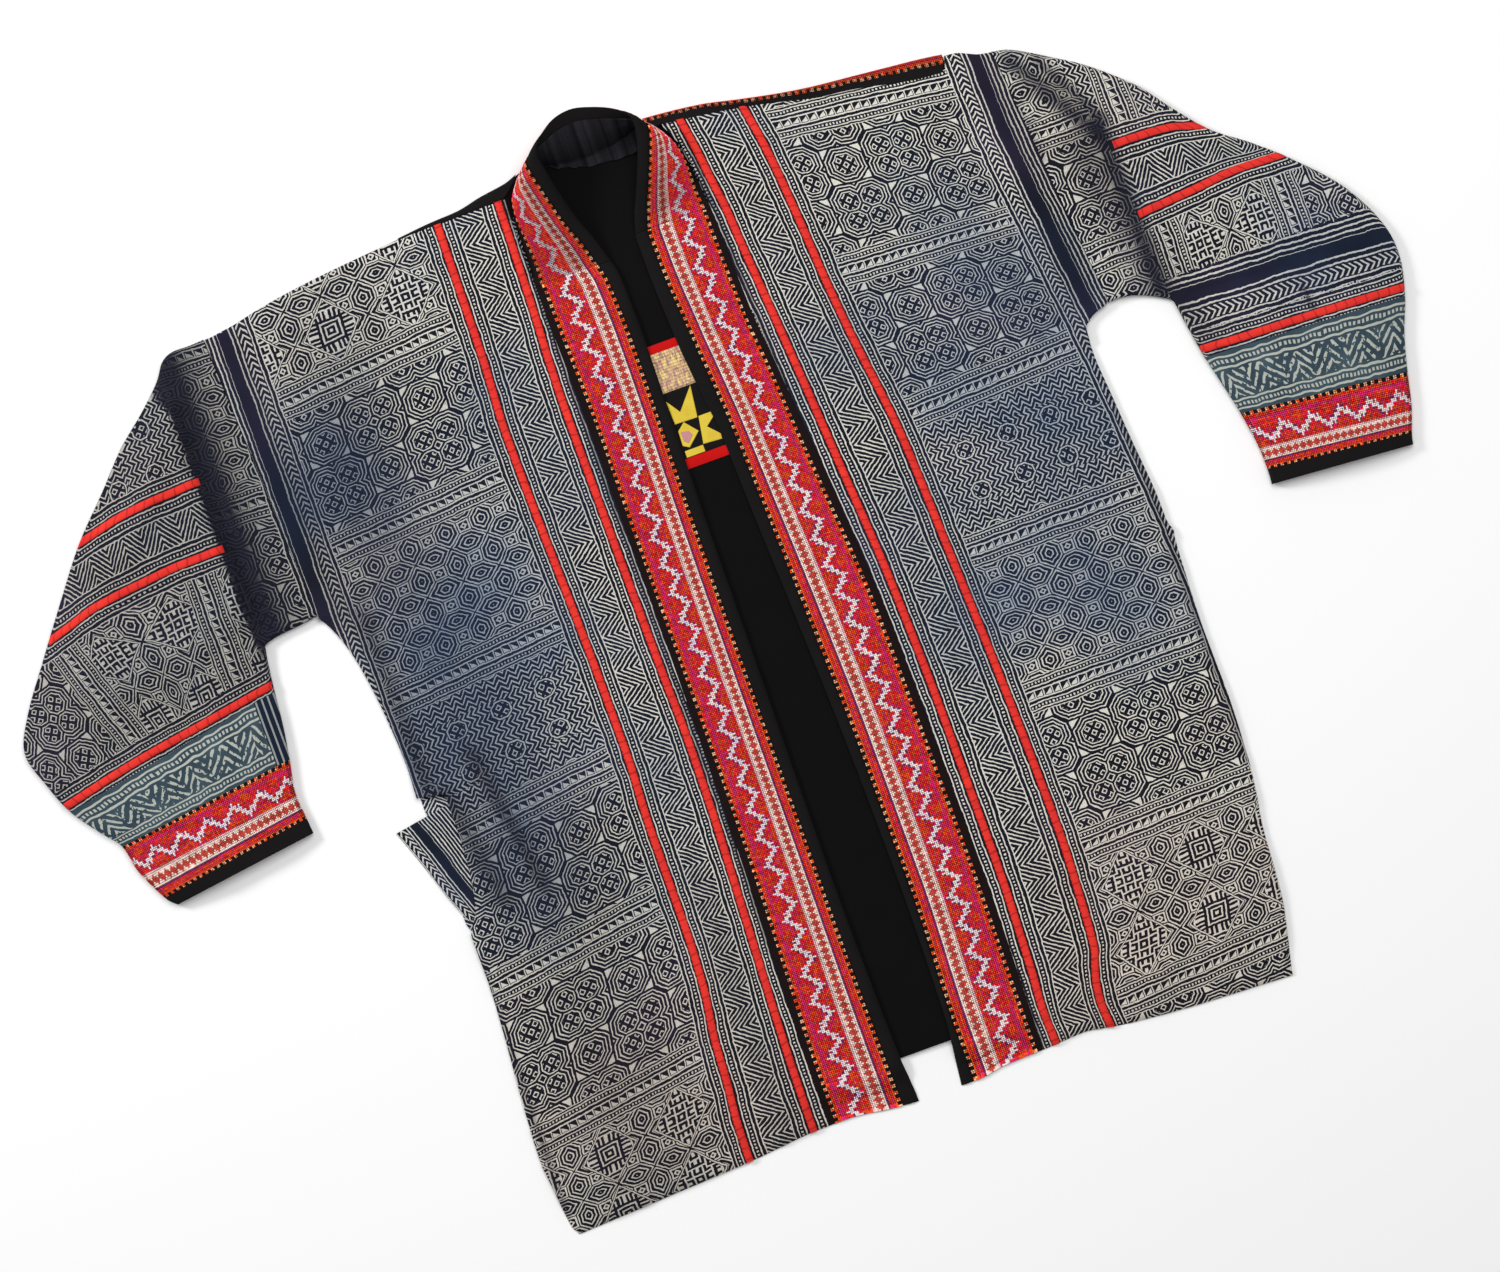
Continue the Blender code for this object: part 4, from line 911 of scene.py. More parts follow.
def makeBand(side):
    rows = frontRows(collarRow)
    plans = [frontPlan(side, ("inner", "outer"), np.linspace(0, 1, 17), rows),
             frontPlan(side, ("seam", "seam"), [0], rows)]
    x, y = (np.concatenate(part, axis=1) for part in zip(*plans))
    over = rolledEdge(bandTop(side, x, y), ("hem",))
    piece = clothShell("bandCloth_" + side, stack(x, y, frontFloor(side, x, y)), over, "ground")
    settle(piece, "band_" + side, "embroidery")


def makeBinding(side):
    # folded black cloth along the opening, a soft roll
    shares = np.linspace(0, 1, 7)
    x, y = frontPlan(side, ("edge", "inner"), shares, frontRows(collarRow))
    base, roll = frontFloor(side, x, y), arch(2 * shares - 1)[None, :]
    under = stack(x, y, base + 0.25 * (1 - roll))
    over = stack(x, y, base + layout["wall"] - 0.9 + 1.3 * roll + 0.12 * ripple(x, y, 12, 21))
    piece = clothShell("bindingCloth_" + side, under, rolledEdge(over, ("hem",)), "black")
    settle(piece, "binding_" + side, "black_cotton")


def redStrip(name, x, y, across, base, seed):
    # red strip folded to width, its map across it and along it
    roll = arch(across / layout["stripHalf"])
    over = stack(x, y, base + 0.45 + 0.85 * roll + 0.2 * ripple(x, y, 9, seed))
    piece = clothShell(name, stack(x, y, base + 0.1), over, "red")
    way = np.hypot(np.diff(x[:, :1], axis=0, prepend=x[:1, :1]), np.diff(y[:, :1], axis=0, prepend=y[:1, :1]))
    markCloth(piece, np.stack([across + 0 * x, np.cumsum(way, axis=0) + 0 * x], axis=-1))
    return piece


def stripAcross():
    return np.linspace(-layout["stripHalf"], layout["stripHalf"], layout["stripColumns"])


def makeFrontStrip(side, number):
    across, name = stripAcross(), "strip_{}".format(number)
    x, y = frontPlan(side, (name, name), np.zeros(len(across)), frontRows(), across)
    base = frontFloor(side, x, y) + layout["wall"] + relief(side, x, y)
    piece = redStrip("redStrip_{}_{}".format(number, side), x, y, across[None, :], base, 31 + number)
    settle(piece, "front_strip_{}_{}".format(number, side), "red_cotton")


for side, sign in (("right", -1), ("left", 1)):
    makeFront(side, sign)
    makeBand(side)
    makeBinding(side)
    for number in (1, 2):
        makeFrontStrip(side, number)
print("fronts ready")


# Collar sections from the wearer's right front round the back: where the collar is sewn on, the
# point it curls towards, and its bound edge, each x, y, z.
collarSections = (
    (-63.2, 310, 3.6, -44, 311, 11, -13.2, 311, 9), (-62.4, 328, 3.6, -49, 329, 20, -20, 329, 14),
    (-61.4, 345, 3.6, -54.5, 346, 28, -24.5, 345, 20),
    (-58.6, 357.6, 3.6, -55.4, 360, 33, -27.8, 359, 26),
    (-52.4, 366.2, 3.2, -51.8, 369, 36, -29.8, 370, 31),
    (-45.6, 371.6, 2.6, -46.2, 375, 37, -31, 379, 34), (-36, 375, 1.5, -39, 379, 35, -27.5, 387, 35),
    (-24, 372.5, 0.6, -26, 379, 31, -18.5, 395, 35.5), (-11, 370, 0.6, -12, 377, 28, -9, 399.6, 36),
    (3, 369.3, 0.6, 3, 376, 28, 3, 401, 36), (17, 370.5, 0.6, 17, 377, 28, 15, 398, 36),
    (30, 373.5, 0.6, 31, 380, 31, 28, 392.8, 35.5), (40, 376.5, 1.5, 43, 380.5, 35, 37.8, 386, 35),
    (48, 374, 2.6, 48.6, 378, 37, 41.3, 378, 33.5), (56, 368.6, 3.2, 55, 371.5, 36, 40.3, 369, 30),
    (62.4, 359.4, 3.6, 59.2, 361, 33, 37.2, 358, 26), (67.2, 346, 3.6, 60.4, 346, 28, 31.8, 344.5, 20),
    (69.6, 332, 3.6, 56, 332, 20, 25.8, 331, 14), (71.2, 318, 3.6, 50.5, 318, 11, 19.8, 318, 9),
)
collarLook = {
    "samples": 49, "binding": 9.5, "pitch": 3.0, "bandColumns": 18, "boundColumns": 7,
    "upperEnd": ((("edge", "inner"), 0), (("inner", "outer"), 0.02), (("inner", "outer"), 0.25),
                 (("inner", "outer"), 0.5), (("inner", "outer"), 0.75), (("inner", "outer"), 1),
                 (("seam", "seam"), 0)),
}


def collarCage():
    sections, share = [], np.linspace(0, 1, 25)[:, None]
    for side in ("right", "left"):
        # across the band's upper end, from the opening to the seam
        line = []
        for pair, t in collarLook["upperEnd"]:
            x, y = frontPlan(side, pair, [t], [collarRow])
            line.append((x[0, 0], y[0, 0] + 0.3, frontFloor(side, x, y)[0, 0]))
        sections.append(np.array(line[::-1]))
        if side == "right":
            for row in np.array(collarSections):
                curl = 2 * share * (1 - share) * row[3:6]
                sections.append((1 - share) ** 2 * row[0:3] + curl + share * share * row[6:9])
    return np.array([evenly(section, collarLook["samples"]) for section in sections])


collarForm = collarCage()


def evenRows(points, middle, pitch):
    # fractional row numbers at even distances along one of the columns
    fine = np.linspace(0, len(points) - 1, 12 * len(points))
    reach = distances(spline(points, fine)[:, middle])
    return np.interp(np.linspace(0, reach[-1], max(int(reach[-1] / pitch), 2) + 1), reach, fine)


def collarGrid(reach, pitch, shift):
    # the collar's surface at distances from its seam, moved outwards by shift
    rows = spline(collarForm, evenRows(collarForm, collarLook["samples"] // 2, pitch))
    normal = np.cross(np.gradient(rows, axis=1), np.gradient(rows, axis=0))
    normal /= np.linalg.norm(normal, axis=2, keepdims=True)
    turnIn = ramp(0, 3, np.arange(len(rows)))[:, None, None]
    normal = mix(np.array((0.0, 0.0, 1.0)), normal, turnIn * turnIn[::-1])
    grid = []
    for points, facing in zip(rows, normal):
        values = reach(rowLength(points))
        grid.append(along(points, values) + along(points, values, facing) * shift)
    return np.array(grid)


def bandReach(total):
    return np.linspace(0, total - collarLook["binding"] - 0.2, collarLook["bandColumns"])


def boundReach(total):
    return np.linspace(total - collarLook["binding"], total, collarLook["boundColumns"])


def makeCollar():
    pitch = collarLook["pitch"]
    under, over = (collarGrid(bandReach, pitch, shift) for shift in (0.0, layout["wall"] - layout["sunk"]))
    band = clothShell("collarCloth", under, over, "ground")
    settle(band, "collar_band", "embroidery")
    roll = arch(np.linspace(-1, 1, collarLook["boundColumns"]))[:, None]
    under, over = (collarGrid(boundReach, pitch, shift) for shift in (-0.3, 0.45 + 1.2 * roll))
    edge = clothShell("neckBinding", under, over, "black")
    settle(edge, "binding_neck", "black_cotton")
    # the facing inside, its lower edge on the lining and lowest on the wearer's left
    under, over = (collarGrid(bandReach, pitch, shift)[9:-9, 2:] for shift in (-1.3, -0.3))
    x, flaps = under[..., 0], []
    over[..., 1] -= 1.3 * (1 + ripple(x * 2.2, 0 * x, 18, 40)) * ramp(0, 4, np.arange(x.shape[1]))[None, ::-1]
    reach = 0.4 + 15.0 * np.clip((x[:, :1] + 30) / 75, 0, 1) * ramp(56, 46, x[:, :1])
    shares = np.linspace(1, 0.2, 5)
    for grid, low in ((under, 3.1), (over, 4.0)):
        skirt = np.repeat(grid[:, :1], len(shares), axis=1)
        skirt[..., 1] -= reach * shares
        skirt[..., 2] = mix(low, skirt[..., 2], (1 - shares) ** 2)
        flaps.append(np.concatenate([skirt, grid], axis=1))
    facing = clothShell("collarFacing", *flaps, "facing")
    settle(facing, "collar_facing", "black_cotton")


makeCollar()
print("collar ready")


# Where each shoulder's band starts and ends, and how much of the left one shows past the fold.
shoulderLook = {"right": (-264, -47.5), "left": (48.5, 266.6), "rows": 60, "lip": 0.3, "pitch": 4.0}
bandShows = ((48, 1.5), (70, 1.8), (90, 3.2), (120, 2.4), (170, 4), (220, 6), (266, 7.2))


def leftShoulderGrid(pitch, perRoll):
    # outer and inner faces of the rolled band, from under the back over the fold
    roll, wall = layout["roll"], layout["wall"]
    start, end = shoulderLook["left"]
    x = np.linspace(start, end, int((end - start) / pitch) + 1)
    fold = smooth(shoulder["left"], x)
    shows = np.maximum(smooth(bandShows, x), roll + shoulderLook["lip"])
    grids = []
    for radius in (roll, roll - wall):
        out = [-layout["shoulderBand"] + 0.3 + 0 * x, -12 + 0 * x]
        up = [roll - radius + 0 * x] * 2
        for angle in np.linspace(0, np.pi, 3 * perRoll + 1):
            out.append(-roll + radius * np.sin(angle) + 0 * x)
            up.append(roll - radius * np.cos(angle) + 0 * x)
        out.append(-shows)
        up.append(roll + radius + 0 * x)
        grids.append(np.stack([stack(x, fold + a, b) for a, b in zip(out, up)], axis=1))
    return grids


def makeRightShoulder():
    # the band lies beneath, the black strip tapers out above it
    wall, seam, width = layout["wall"], layout["seam"], layout["shoulderBand"]
    x = np.linspace(*shoulderLook["right"], shoulderLook["rows"])[:, None] + np.zeros((1, 7))
    y = smooth(shoulder["right"], x) - width + seam + np.linspace(0, width - 2 * seam, 7)[None, :]
    piece = clothShell("shoulderBand_right", stack(x, y, 0 * x), stack(x, y, 0 * x + wall), "ground")
    settle(piece, "shoulder_band_right", "embroidery")
    share, across = np.linspace(0, 1, 34)[:, None], np.linspace(0, 1, 8)[None, :]
    x = mix(-146, mix(-66.4, -50.5, across), share)
    low = smooth(frontTop["right"], np.minimum(x, -60.0)) - 0.4
    y = mix(low, smooth(shoulder["right"], x) + 0.2, across)
    base = np.maximum(frontFloor("right", x, y), wall + seam)
    over = rolledEdge(stack(x, y, base + wall + 0.25 * ripple(x, y, 14, 51)), ("last", "first"))
    piece = clothShell("shoulderStrip_right", stack(x, y, base), over, "black")
    settle(piece, "shoulder_strip_right", "black_cotton")


def makeLeftShoulder():
    # the band rolls over the fold, the black strip lies between it and the front
    wall, roll = layout["wall"], layout["roll"]
    over, under = leftShoulderGrid(shoulderLook["pitch"], 4)
    piece = clothShell("shoulderBand_left", under, over, "ground")
    settle(piece, "shoulder_band_left", "embroidery")
    x = np.linspace(*shoulderLook["left"], shoulderLook["rows"])[:, None] + np.zeros((1, 5))
    across = np.linspace(0, 1, 5)[None, :]
    high = smooth(shoulder["left"], x) - np.maximum(smooth(bandShows, x), roll + shoulderLook["lip"]) + 0.4
    start = np.maximum(x, 62.0)
    low = smooth(frontTop["left"], start) - 0.6
    y, z = mix(low, high, across), mix(frontFloor("left", start, low), 2 * roll - wall, across)
    over = stack(x, y, z + wall + 0.15 * ripple(x, y, 14, 52))
    piece = clothShell("shoulderStrip_left", stack(x, y, z), over, "black")
    settle(piece, "shoulder_strip_left", "black_cotton")


makeRightShoulder()
makeLeftShoulder()
print("shoulders ready")


# Sleeve stations from armhole to wrist: outer fold x, y, inner fold x, y, height of the top.
sleeveStations = {
    "right": (
        (-302.4, 340.0, -293.8, 125.2, 5.9), (-314, 339.3, -305, 123.2, 6.4),
        (-327, 339.2, -318, 122, 7.4), (-336, 334.5, -328.5, 120.5, 8.6),
        (-345, 322, -335.5, 118, 12.6), (-363, 305, -336.4, 115, 14), (-385, 286.5, -337, 112, 14.6),
        (-408, 262, -337.6, 109, 14.8), (-437, 232, -338, 106, 14.6), (-464, 197, -338.4, 103, 14.2),
        (-490, 162, -338.8, 100, 13.6), (-513, 130, -339.2, 97, 13), (-525, 104, -339.6, 94, 12.6),
        (-518, 77, -340, 90, 12.4), (-508.3, 53, -340.6, 84.5, 12.2), (-493, 31.5, -343.4, 59, 11.8),
        (-481.8, 17, -347.2, 35, 11.4), (-477, -4, -351.6, 12, 11.2), (-465.5, -28, -350.2, -9, 11),
        (-458.5, -35.6, -349.2, -20.6, 10.8),
    ),
    "left": (
        (301, 340.8, 318.6, 142.4, 5.9), (313, 338, 329, 142.4, 6.4), (327, 330.5, 338.5, 140.5, 7.4),
        (341, 321.8, 348, 136.8, 8.6), (355, 313, 357.5, 131.5, 10.4), (370, 301.5, 362.3, 128, 13.4),
        (392, 281, 363.6, 123, 14.6), (411, 256, 364.3, 118, 14.8), (430, 234, 364.9, 113, 14.6),
        (456, 214, 365.5, 108.5, 14.2), (483, 189, 366.2, 104, 13.6), (507, 161.5, 366.9, 99.5, 13),
        (523, 130, 367.7, 95, 12.6), (526.8, 103, 368.6, 90, 12.4), (520.6, 74, 370, 81.5, 12.2),
        (511, 49, 376, 56, 11.8), (503.6, 22, 380.6, 35, 11.4), (498, -2, 384.4, 10, 11.2),
        (491.6, -20, 385, -9.5, 11), (489.6, -28.4, 384.2, -20.6, 10.8),
    ),
}
# Folds, then creases of the sleeves: x, y to x, y, width, height.
sleeveFolds = {
    "right": (
        (-349, 318, -344, 150, 6, 4.2), (-331, 326, -331, 150, 7, -2.6),
        (-348, 292, -402, 216, 12, 2.6), (-350, 152, -446, 118, 13, 3.0),
        (-416, 150, -496, 128, 13, 1.6), (-350, 66, -470, 42, 10, 1.2),
    ),
    "left": (
        (368, 262, 367, 140, 6, 3.4), (354, 262, 356, 140, 7, -2.4), (308, 330, 352, 262, 6, 4.0),
        (322, 330, 356, 276, 5, -2.6), (330, 338, 372, 290, 7, 3.4), (318, 268, 350, 216, 8, 2.6),
        (372, 172, 452, 150, 13, 2.0), (396, 112, 500, 118, 12, 1.6), (380, 58, 500, 44, 10, 1.2),
    ),
}
sleeveCreases = {
    "right": (
        (-346, 300, -372, 268, 4, -1.2), (-350, 262, -392, 228, 4, 0.9),
        (-346, 236, -360, 216, 3, -0.8), (-348, 170, -400, 150, 4, -1.2),
        (-346, 140, -420, 112, 4, 1.0), (-390, 168, -386, 110, 3, -0.9),
        (-366, 176, -364, 112, 3, -0.7), (-430, 180, -448, 116, 5, 0.8),
        (-470, 150, -500, 96, 5, -0.8), (-400, 212, -452, 200, 4, -0.6), (-420, 96, -496, 84, 3, -0.6),
        (-356, 104, -410, 96, 3, -1.0), (-400, 56, -404, 28, 4, -0.7), (-440, 40, -438, 10, 4, 0.6),
        (-372, 60, -380, 36, 3, -0.6),
    ),
    "left": (
        (306, 334, 340, 300, 3, -1.3), (314, 300, 356, 262, 3, -1.2), (318, 270, 352, 226, 3, 0.9),
        (322, 236, 350, 196, 3, -0.9), (346, 316, 372, 282, 4, 0.9), (364, 278, 396, 250, 4, -1.0),
        (370, 176, 430, 160, 4, -1.2), (372, 150, 470, 140, 4, 1.0), (376, 128, 440, 122, 3, -1.1),
        (420, 108, 506, 116, 3, -1.0), (400, 100, 470, 98, 3, 0.7), (380, 78, 440, 66, 3, -0.7),
        (420, 58, 428, 20, 4, -0.6), (462, 60, 470, 22, 4, 0.6), (440, 210, 480, 180, 4, -0.6),
    ),
}
# Painted shade, darkest in the folds beside the armholes, with thin dark lines along piecing seams: x, y to x,
# y, width, amount.
sleevePaintedShade = {
    "right": (
        (-337, 330, -333, 128, 13, 0.8), (-318, 330, -316, 130, 15, 0.14),
        (-372, 170, -368, 100, 20, 0.12), (-388, 176, -386, 34, 2.5, 0.4),
        (-440, 110, -500, 90, 40, 0.1),
    ),
    "left": (
        (312, 326, 350, 262, 6, 0.5), (330, 322, 358, 270, 4, 0.4), (355, 262, 357, 140, 6, 0.5),
        (340, 250, 352, 150, 14, 0.25), (300, 300, 306, 260, 6, 0.3), (366, 120, 388, 60, 14, 0.2),
        (452, 104, 456, 70, 2.5, 0.4),
    ),
}
# Red strips across the sleeves: rows of (x, y).
sleeveStrips = {
    "right": (
        ((-346, 244), (-372, 242.5), (-400, 240), (-427, 234.5)),
        ((-343, 193), (-372, 192.5), (-400, 190), (-440, 185), (-465, 178)),
        ((-347, 88.5), (-390, 81), (-450, 71), (-501, 60)),
    ),
    "left": (
        ((364, 247), (385, 246.5), (403, 245), (414, 242)),
        ((367, 194.5), (400, 197), (440, 200.5), (460, 200)),
        ((375, 87.5), (400, 86), (440, 84.5), (480, 82.5), (515, 80.5)),
    ),
}
sleeveLook = {
    "edgeRoll": 3.4, "dome": 42.0, "wall": 1.4, "cuffWall": 1.1, "across": 58, "beneath": 22,
    # first and last station, and how many rings
    "parts": {"sleeve": (0, 14, 118), "stripe": (14, 16, 16), "cuff": (16, 18, 16), "facing": (18, 19, 7)},
    "area": {"right": 0.079, "left": 0.069}, "stripeLength": 38.0,
    "ridge": {"right": -339.0, "left": 359.5},
    # rows of squares by their place: across the cloth beside the armhole, along it further down
    "besideBars": {"right": (333.0, 217.0), "left": (272.0, 176.0)},
    "besideKinds": {"right": (1.0, 1.0, 2.0), "left": (1.0, 2.0, 1.0)},
    "bars": {"right": (-362.0, -461.0), "left": (372.0, 462.0)},
    "lean": {"right": 0.34, "left": 0.0},
}


def sleeveRing(side, at):
    # rings over the top from the outer fold and back along the table
    stations = spline(np.array(sleeveStations[side], float), at)
    outer, inner, height = stations[:, None, 0:2], stations[:, None, 2:4], stations[:, 4:5]
    width = np.linalg.norm(inner - outer, axis=2)
    roll = np.minimum(sleeveLook["edgeRoll"], height / 2)
    turn = 1 - np.cos(np.linspace(0, np.pi / 2, 6))[:-1]

    def reach(count):
        middle = np.linspace(0, 1, count)[None, :]
        return np.concatenate([roll * turn[None, :], mix(roll, width - roll, middle),
                               (width - roll * turn[None, :])[:, ::-1]], axis=1)

    over, under = reach(sleeveLook["across"]), reach(sleeveLook["beneath"])[:, ::-1][:, 1:-1]
    distance = np.concatenate([over, under], axis=1)
    plan = mix(outer, inner, (distance / width)[..., None])
    x, y = plan[..., 0], plan[..., 1]
    gap = np.minimum(distance, width - distance)
    bulge = np.sqrt(np.maximum(roll ** 2 - (roll - np.minimum(gap, roll)) ** 2, 0.0))
    dome = np.clip((gap - roll) / sleeveLook["dome"], 0, 1)
    dome = dome * (2 - dome)
    top = roll + bulge + dome * (height - 2 * roll + ridges(sleeveFolds[side], x, y))
    fine = ridges(sleeveCreases[side], x, y) + 0.3 * ripple(x, y, 40, 61) + 0.18 * ripple(x, y, 15, 62)
    for points in sleeveStrips[side]:
        away = np.abs(y - smooth(points, x))
        fine = fine + 0.4 * np.sin(x / 2.2) * ripple(x, y, 50, 63) * np.exp(-((away - 5) / 6.5) ** 2)
    top = top + fine * np.clip(gap / 9, 0, 1)
    upper = np.arange(distance.shape[1])[None, :] < over.shape[1]
    return stack(x, y, np.where(upper, top, roll - bulge))


def sleeveLine(side, number, x):
    # a strip's place across the sleeve, straight on past both ends
    knots = np.array(sleeveStrips[side][number - 1], float)
    knots = knots[np.argsort(knots[:, 0])]
    low, high = knots[1] - knots[0], knots[-1] - knots[-2]
    y = smooth(knots, x) + np.minimum(x - knots[0, 0], 0) * low[1] / low[0]
    return y + np.maximum(x - knots[-1, 0], 0) * high[1] / high[0]


def sleeveMap(side, x, y, faceX, faceY, z):
    # the cloth turned a quarter: strips, zigzags and blocks follow each other down the sleeve
    first, second, third = (sleeveLine(side, number, x) for number in (1, 2, 3))
    faceFirst, faceSecond, faceThird = (sleeveLine(side, number, faceX) for number in (1, 2, 3))
    look = batikLook
    u = np.where(faceY > faceFirst, first - y, look["strips"] * (first - y) / (first - second))
    u = np.where(faceY < faceSecond, look["strips"] + second - y, u)
    u = np.where(faceY < faceThird + 13, third - y, u)
    if side == "left":
        # the selvedge crosses this sleeve above the last strip
        u = np.where((faceY < 143) & (faceY > faceThird + 13), look["selvedge"] + 0.8 * (y - third - 13), u)
    v = x + np.where(faceY < faceSecond, sleeveLook["lean"][side] * (y - 130) * ramp(-380, -440, x), 0.0)
    # next to the armhole the cloth hangs like the front's
    if side == "right":
        beside = faceX > -340 - 5 * (faceY - 250) / 100
        u = np.where(beside, look["blocks"] - 300 - x, u)
    else:
        beside = faceX < np.interp(faceY, (130, 250, 330), (361, 357, 340))
        u = np.where(beside, look["blocks"] + x - 300, u)
    v = np.where(beside, y, v)
    overEdge = np.maximum(2 * sleeveLook["edgeRoll"] - z, 0)
    return u + overEdge, v + overEdge, beside


def markSleeve(piece, side, outside):
    # corner map and face marks of a sleeve
    mesh, look, flat = piece.data, sleeveLook, outside.reshape(-1, 3)
    at = flat[cornersOf(mesh) % len(flat)]
    faceX, faceY, _ = at.reshape(-1, 4, 3).mean(axis=1).T
    u, v, beside = sleeveMap(side, at[:, 0], at[:, 1], np.repeat(faceX, 4), np.repeat(faceY, 4), at[:, 2])
    setMap(mesh, np.stack([u, v], axis=-1))
    beside, faceV = beside[::4], v.reshape(-1, 4).mean(axis=1)
    upper = faceY > sleeveLine(side, 1, faceX)
    bars, rows = np.array(look["bars"][side]), np.array(look["besideBars"][side])
    nearest = bars[np.argmin(np.abs(faceV[:, None] - bars[None, :]), axis=1)]
    row = np.sum(faceY[:, None] < rows[None, :], axis=1)
    kind = np.where(upper, 3.0, np.where(np.abs(faceV) > abs(bars[1]), 2.0, 4.0))
    bar = np.where(upper & (side == "right"), noBar, nearest)
    bar = np.where(beside, rows[np.argmin(np.abs(faceY[:, None] - rows[None, :]), axis=1)], bar)
    # painted shadow from the ridge to the armhole; the wearer's right sleeve is painted a little darker all
    # over, as in shade
    deep = ridges(sleevePaintedShade[side], faceX, faceY)
    if side == "right":
        deep = deep * ramp(-343, -340, faceX + 10 * ramp(290, 320, faceY)) + 0.19
    values = {"blockKind": np.where(beside, np.array(look["besideKinds"][side])[row], kind), "barMiddle": bar,
              "blockMiddle": np.where(beside, rows[0] + 58 - 116 * row, bars.mean()),
              "fade": 0.6 * fadeAt(faceX, faceY), "deep": np.minimum(deep + 0.04, 0.84)}
    for title, value in values.items():
        setMark(mesh, title, "FACE", value)


def cuffRings(side, at):
    # the cuff's cloth lies a little lower than its stitches, above and below
    rings = sleeveRing(side, at)
    rings[..., 2] = np.maximum(rings[..., 2] - layout["sunk"], 0.36)
    return rings


def makeSleeve(side):
    parts, wall, area = sleeveLook["parts"], sleeveLook["wall"], sleeveLook["area"][side]
    outside = sleeveRing(side, np.linspace(*parts["sleeve"]))
    piece = tubeShell("sleeveCloth_" + side, outside, wall, "batik", "reverse")
    markSleeve(piece, side, outside)
    settle(piece, "sleeve_" + side)
    outside = sleeveRing(side, np.linspace(*parts["stripe"]))
    piece = tubeShell("fadedBand_" + side, outside, wall, "faded", "reverse")
    rows = outside.shape[0]
    girth = np.cumsum(np.linalg.norm(np.diff(outside[8], axis=0, prepend=outside[8, :1]), axis=1))
    down = np.linspace(0, sleeveLook["stripeLength"], rows)[:, None]
    markCloth(piece, np.stack([girth[None, :] + 0 * down, down + 0 * girth[None, :]], axis=-1))
    settle(piece, "sleeve_stripe_" + side, "faded_indigo")
    outside = cuffRings(side, np.linspace(*parts["cuff"]))
    piece = tubeShell("cuffCloth_" + side, outside, sleeveLook["cuffWall"], "ground", "black")
    settle(piece, "cuff_" + side, "embroidery")
    piece = tubeShell("cuffEdge_" + side, sleeveRing(side, np.linspace(*parts["facing"])), wall, "black")
    settle(piece, "cuff_facing_" + side, "black_cotton")


def sleeveTop(side, x, y):
    # height of the finished sleeve under points of the plan
    piece, z = bpy.data.objects["sleeveCloth_" + side], np.zeros(x.shape)
    for index in np.ndindex(x.shape):
        start = toMetres(np.array((x[index], y[index], 100.0)))
        hit, place, _, _ = piece.ray_cast(start, (0, 0, -1))
        z[index] = place[2] * 1000 if hit else 3.4
    return z


def makeSleeveStrip(side, number):
    # red strip from the ridge or the inner fold round to the outer fold
    knots = np.array(sleeveStrips[side][number - 1], float)
    sign = np.sign(knots[-1, 0])
    inner = sleeveLook["ridge"][side] if number < 3 else knots[0, 0] - 14 * sign
    outer = knots[-1, 0] + 16 * sign
    across = stripAcross()[None, :]
    x = np.linspace(inner, outer, int(abs(outer - inner)))[:, None] + 0 * across
    held = sleeveTop(side, x, sleeveLine(side, number, x) + across) > 3.6
    ends = np.array([x[held[:, k], k][[0, -1]] for k in range(across.size)])
    x = mix(ends[:, 0], ends[:, 1], np.linspace(0, 1, int(abs(outer - inner) / 2.2))[:, None])
    y = sleeveLine(side, number, x) + across
    name = "redSleeveStrip_{}_{}".format(number, side)
    piece = redStrip(name, x, y, across, sleeveTop(side, x, y), 70 + number)
    settle(piece, "sleeve_strip_{}_{}".format(number, side), "red_cotton")


for side in ("right", "left"):
    makeSleeve(side)
    for number in (1, 2, 3):
        makeSleeveStrip(side, number)
print("sleeves ready")


# The lining with its pieced patch, the back and the pocket facing. Boxes are left, right, bottom, top.
innerLook = {
    "lining": (-44, 62, -317.3), "liningCells": (28, 112),
    "neckline": ((-44, 373), (-36, 375.6), (-24, 373.6), (-11, 371.2), (3, 370.5), (17, 371.6),
                 (30, 374.6), (40, 377), (48, 375), (56, 369.4), (62, 360.8)),
    # node: name, box, cloth, slot
    "patches": {"patch_trim_lower": ("patchTrimLower", (-9, 29, 133, 140.5), "patchRed", "red_cotton"),
                "patch_brocade": ("patchBrocade", (-8.5, 26, 190, 219.3), "gold", "gold_brocade"),
                "patch_trim_upper": ("patchTrimUpper", (-9, 25, 219.3, 225.5), "patchRed", "red_cotton")},
    "star": (-9, 28, 140.5, 190), "patchCell": 1.5, "patchLift": 1.2,
    "backEdge": -269.5,
}
patchFloor = layout["wall"] + layout["seam"] + innerLook["patchLift"]
# The pocket's facing: y, its outer x, its inner x.
pocketFacing = (
    (-118, -266.5, -258), (-96, -275, -246), (-70, -283.5, -240), (-52, -290, -238),
    (-41.5, -294, -238),
)


def patchSheet(name, box, height, cloth, unevenness):
    left, right, bottom, top = box
    cell = innerLook["patchCell"]
    x, y = np.meshgrid(np.linspace(left, right, max(int((right - left) / cell), 4)),
                       np.linspace(bottom, top, max(int((top - bottom) / cell), 4)))
    over = stack(x, y, patchFloor + height - unevenness + unevenness * ripple(x, y, 30, 80))
    rolledEdge(over, ("hem", "top", "first", "last"), 1.2, 0.4)
    return clothShell(name, stack(x, y, patchFloor + 0 * x), over, cloth)


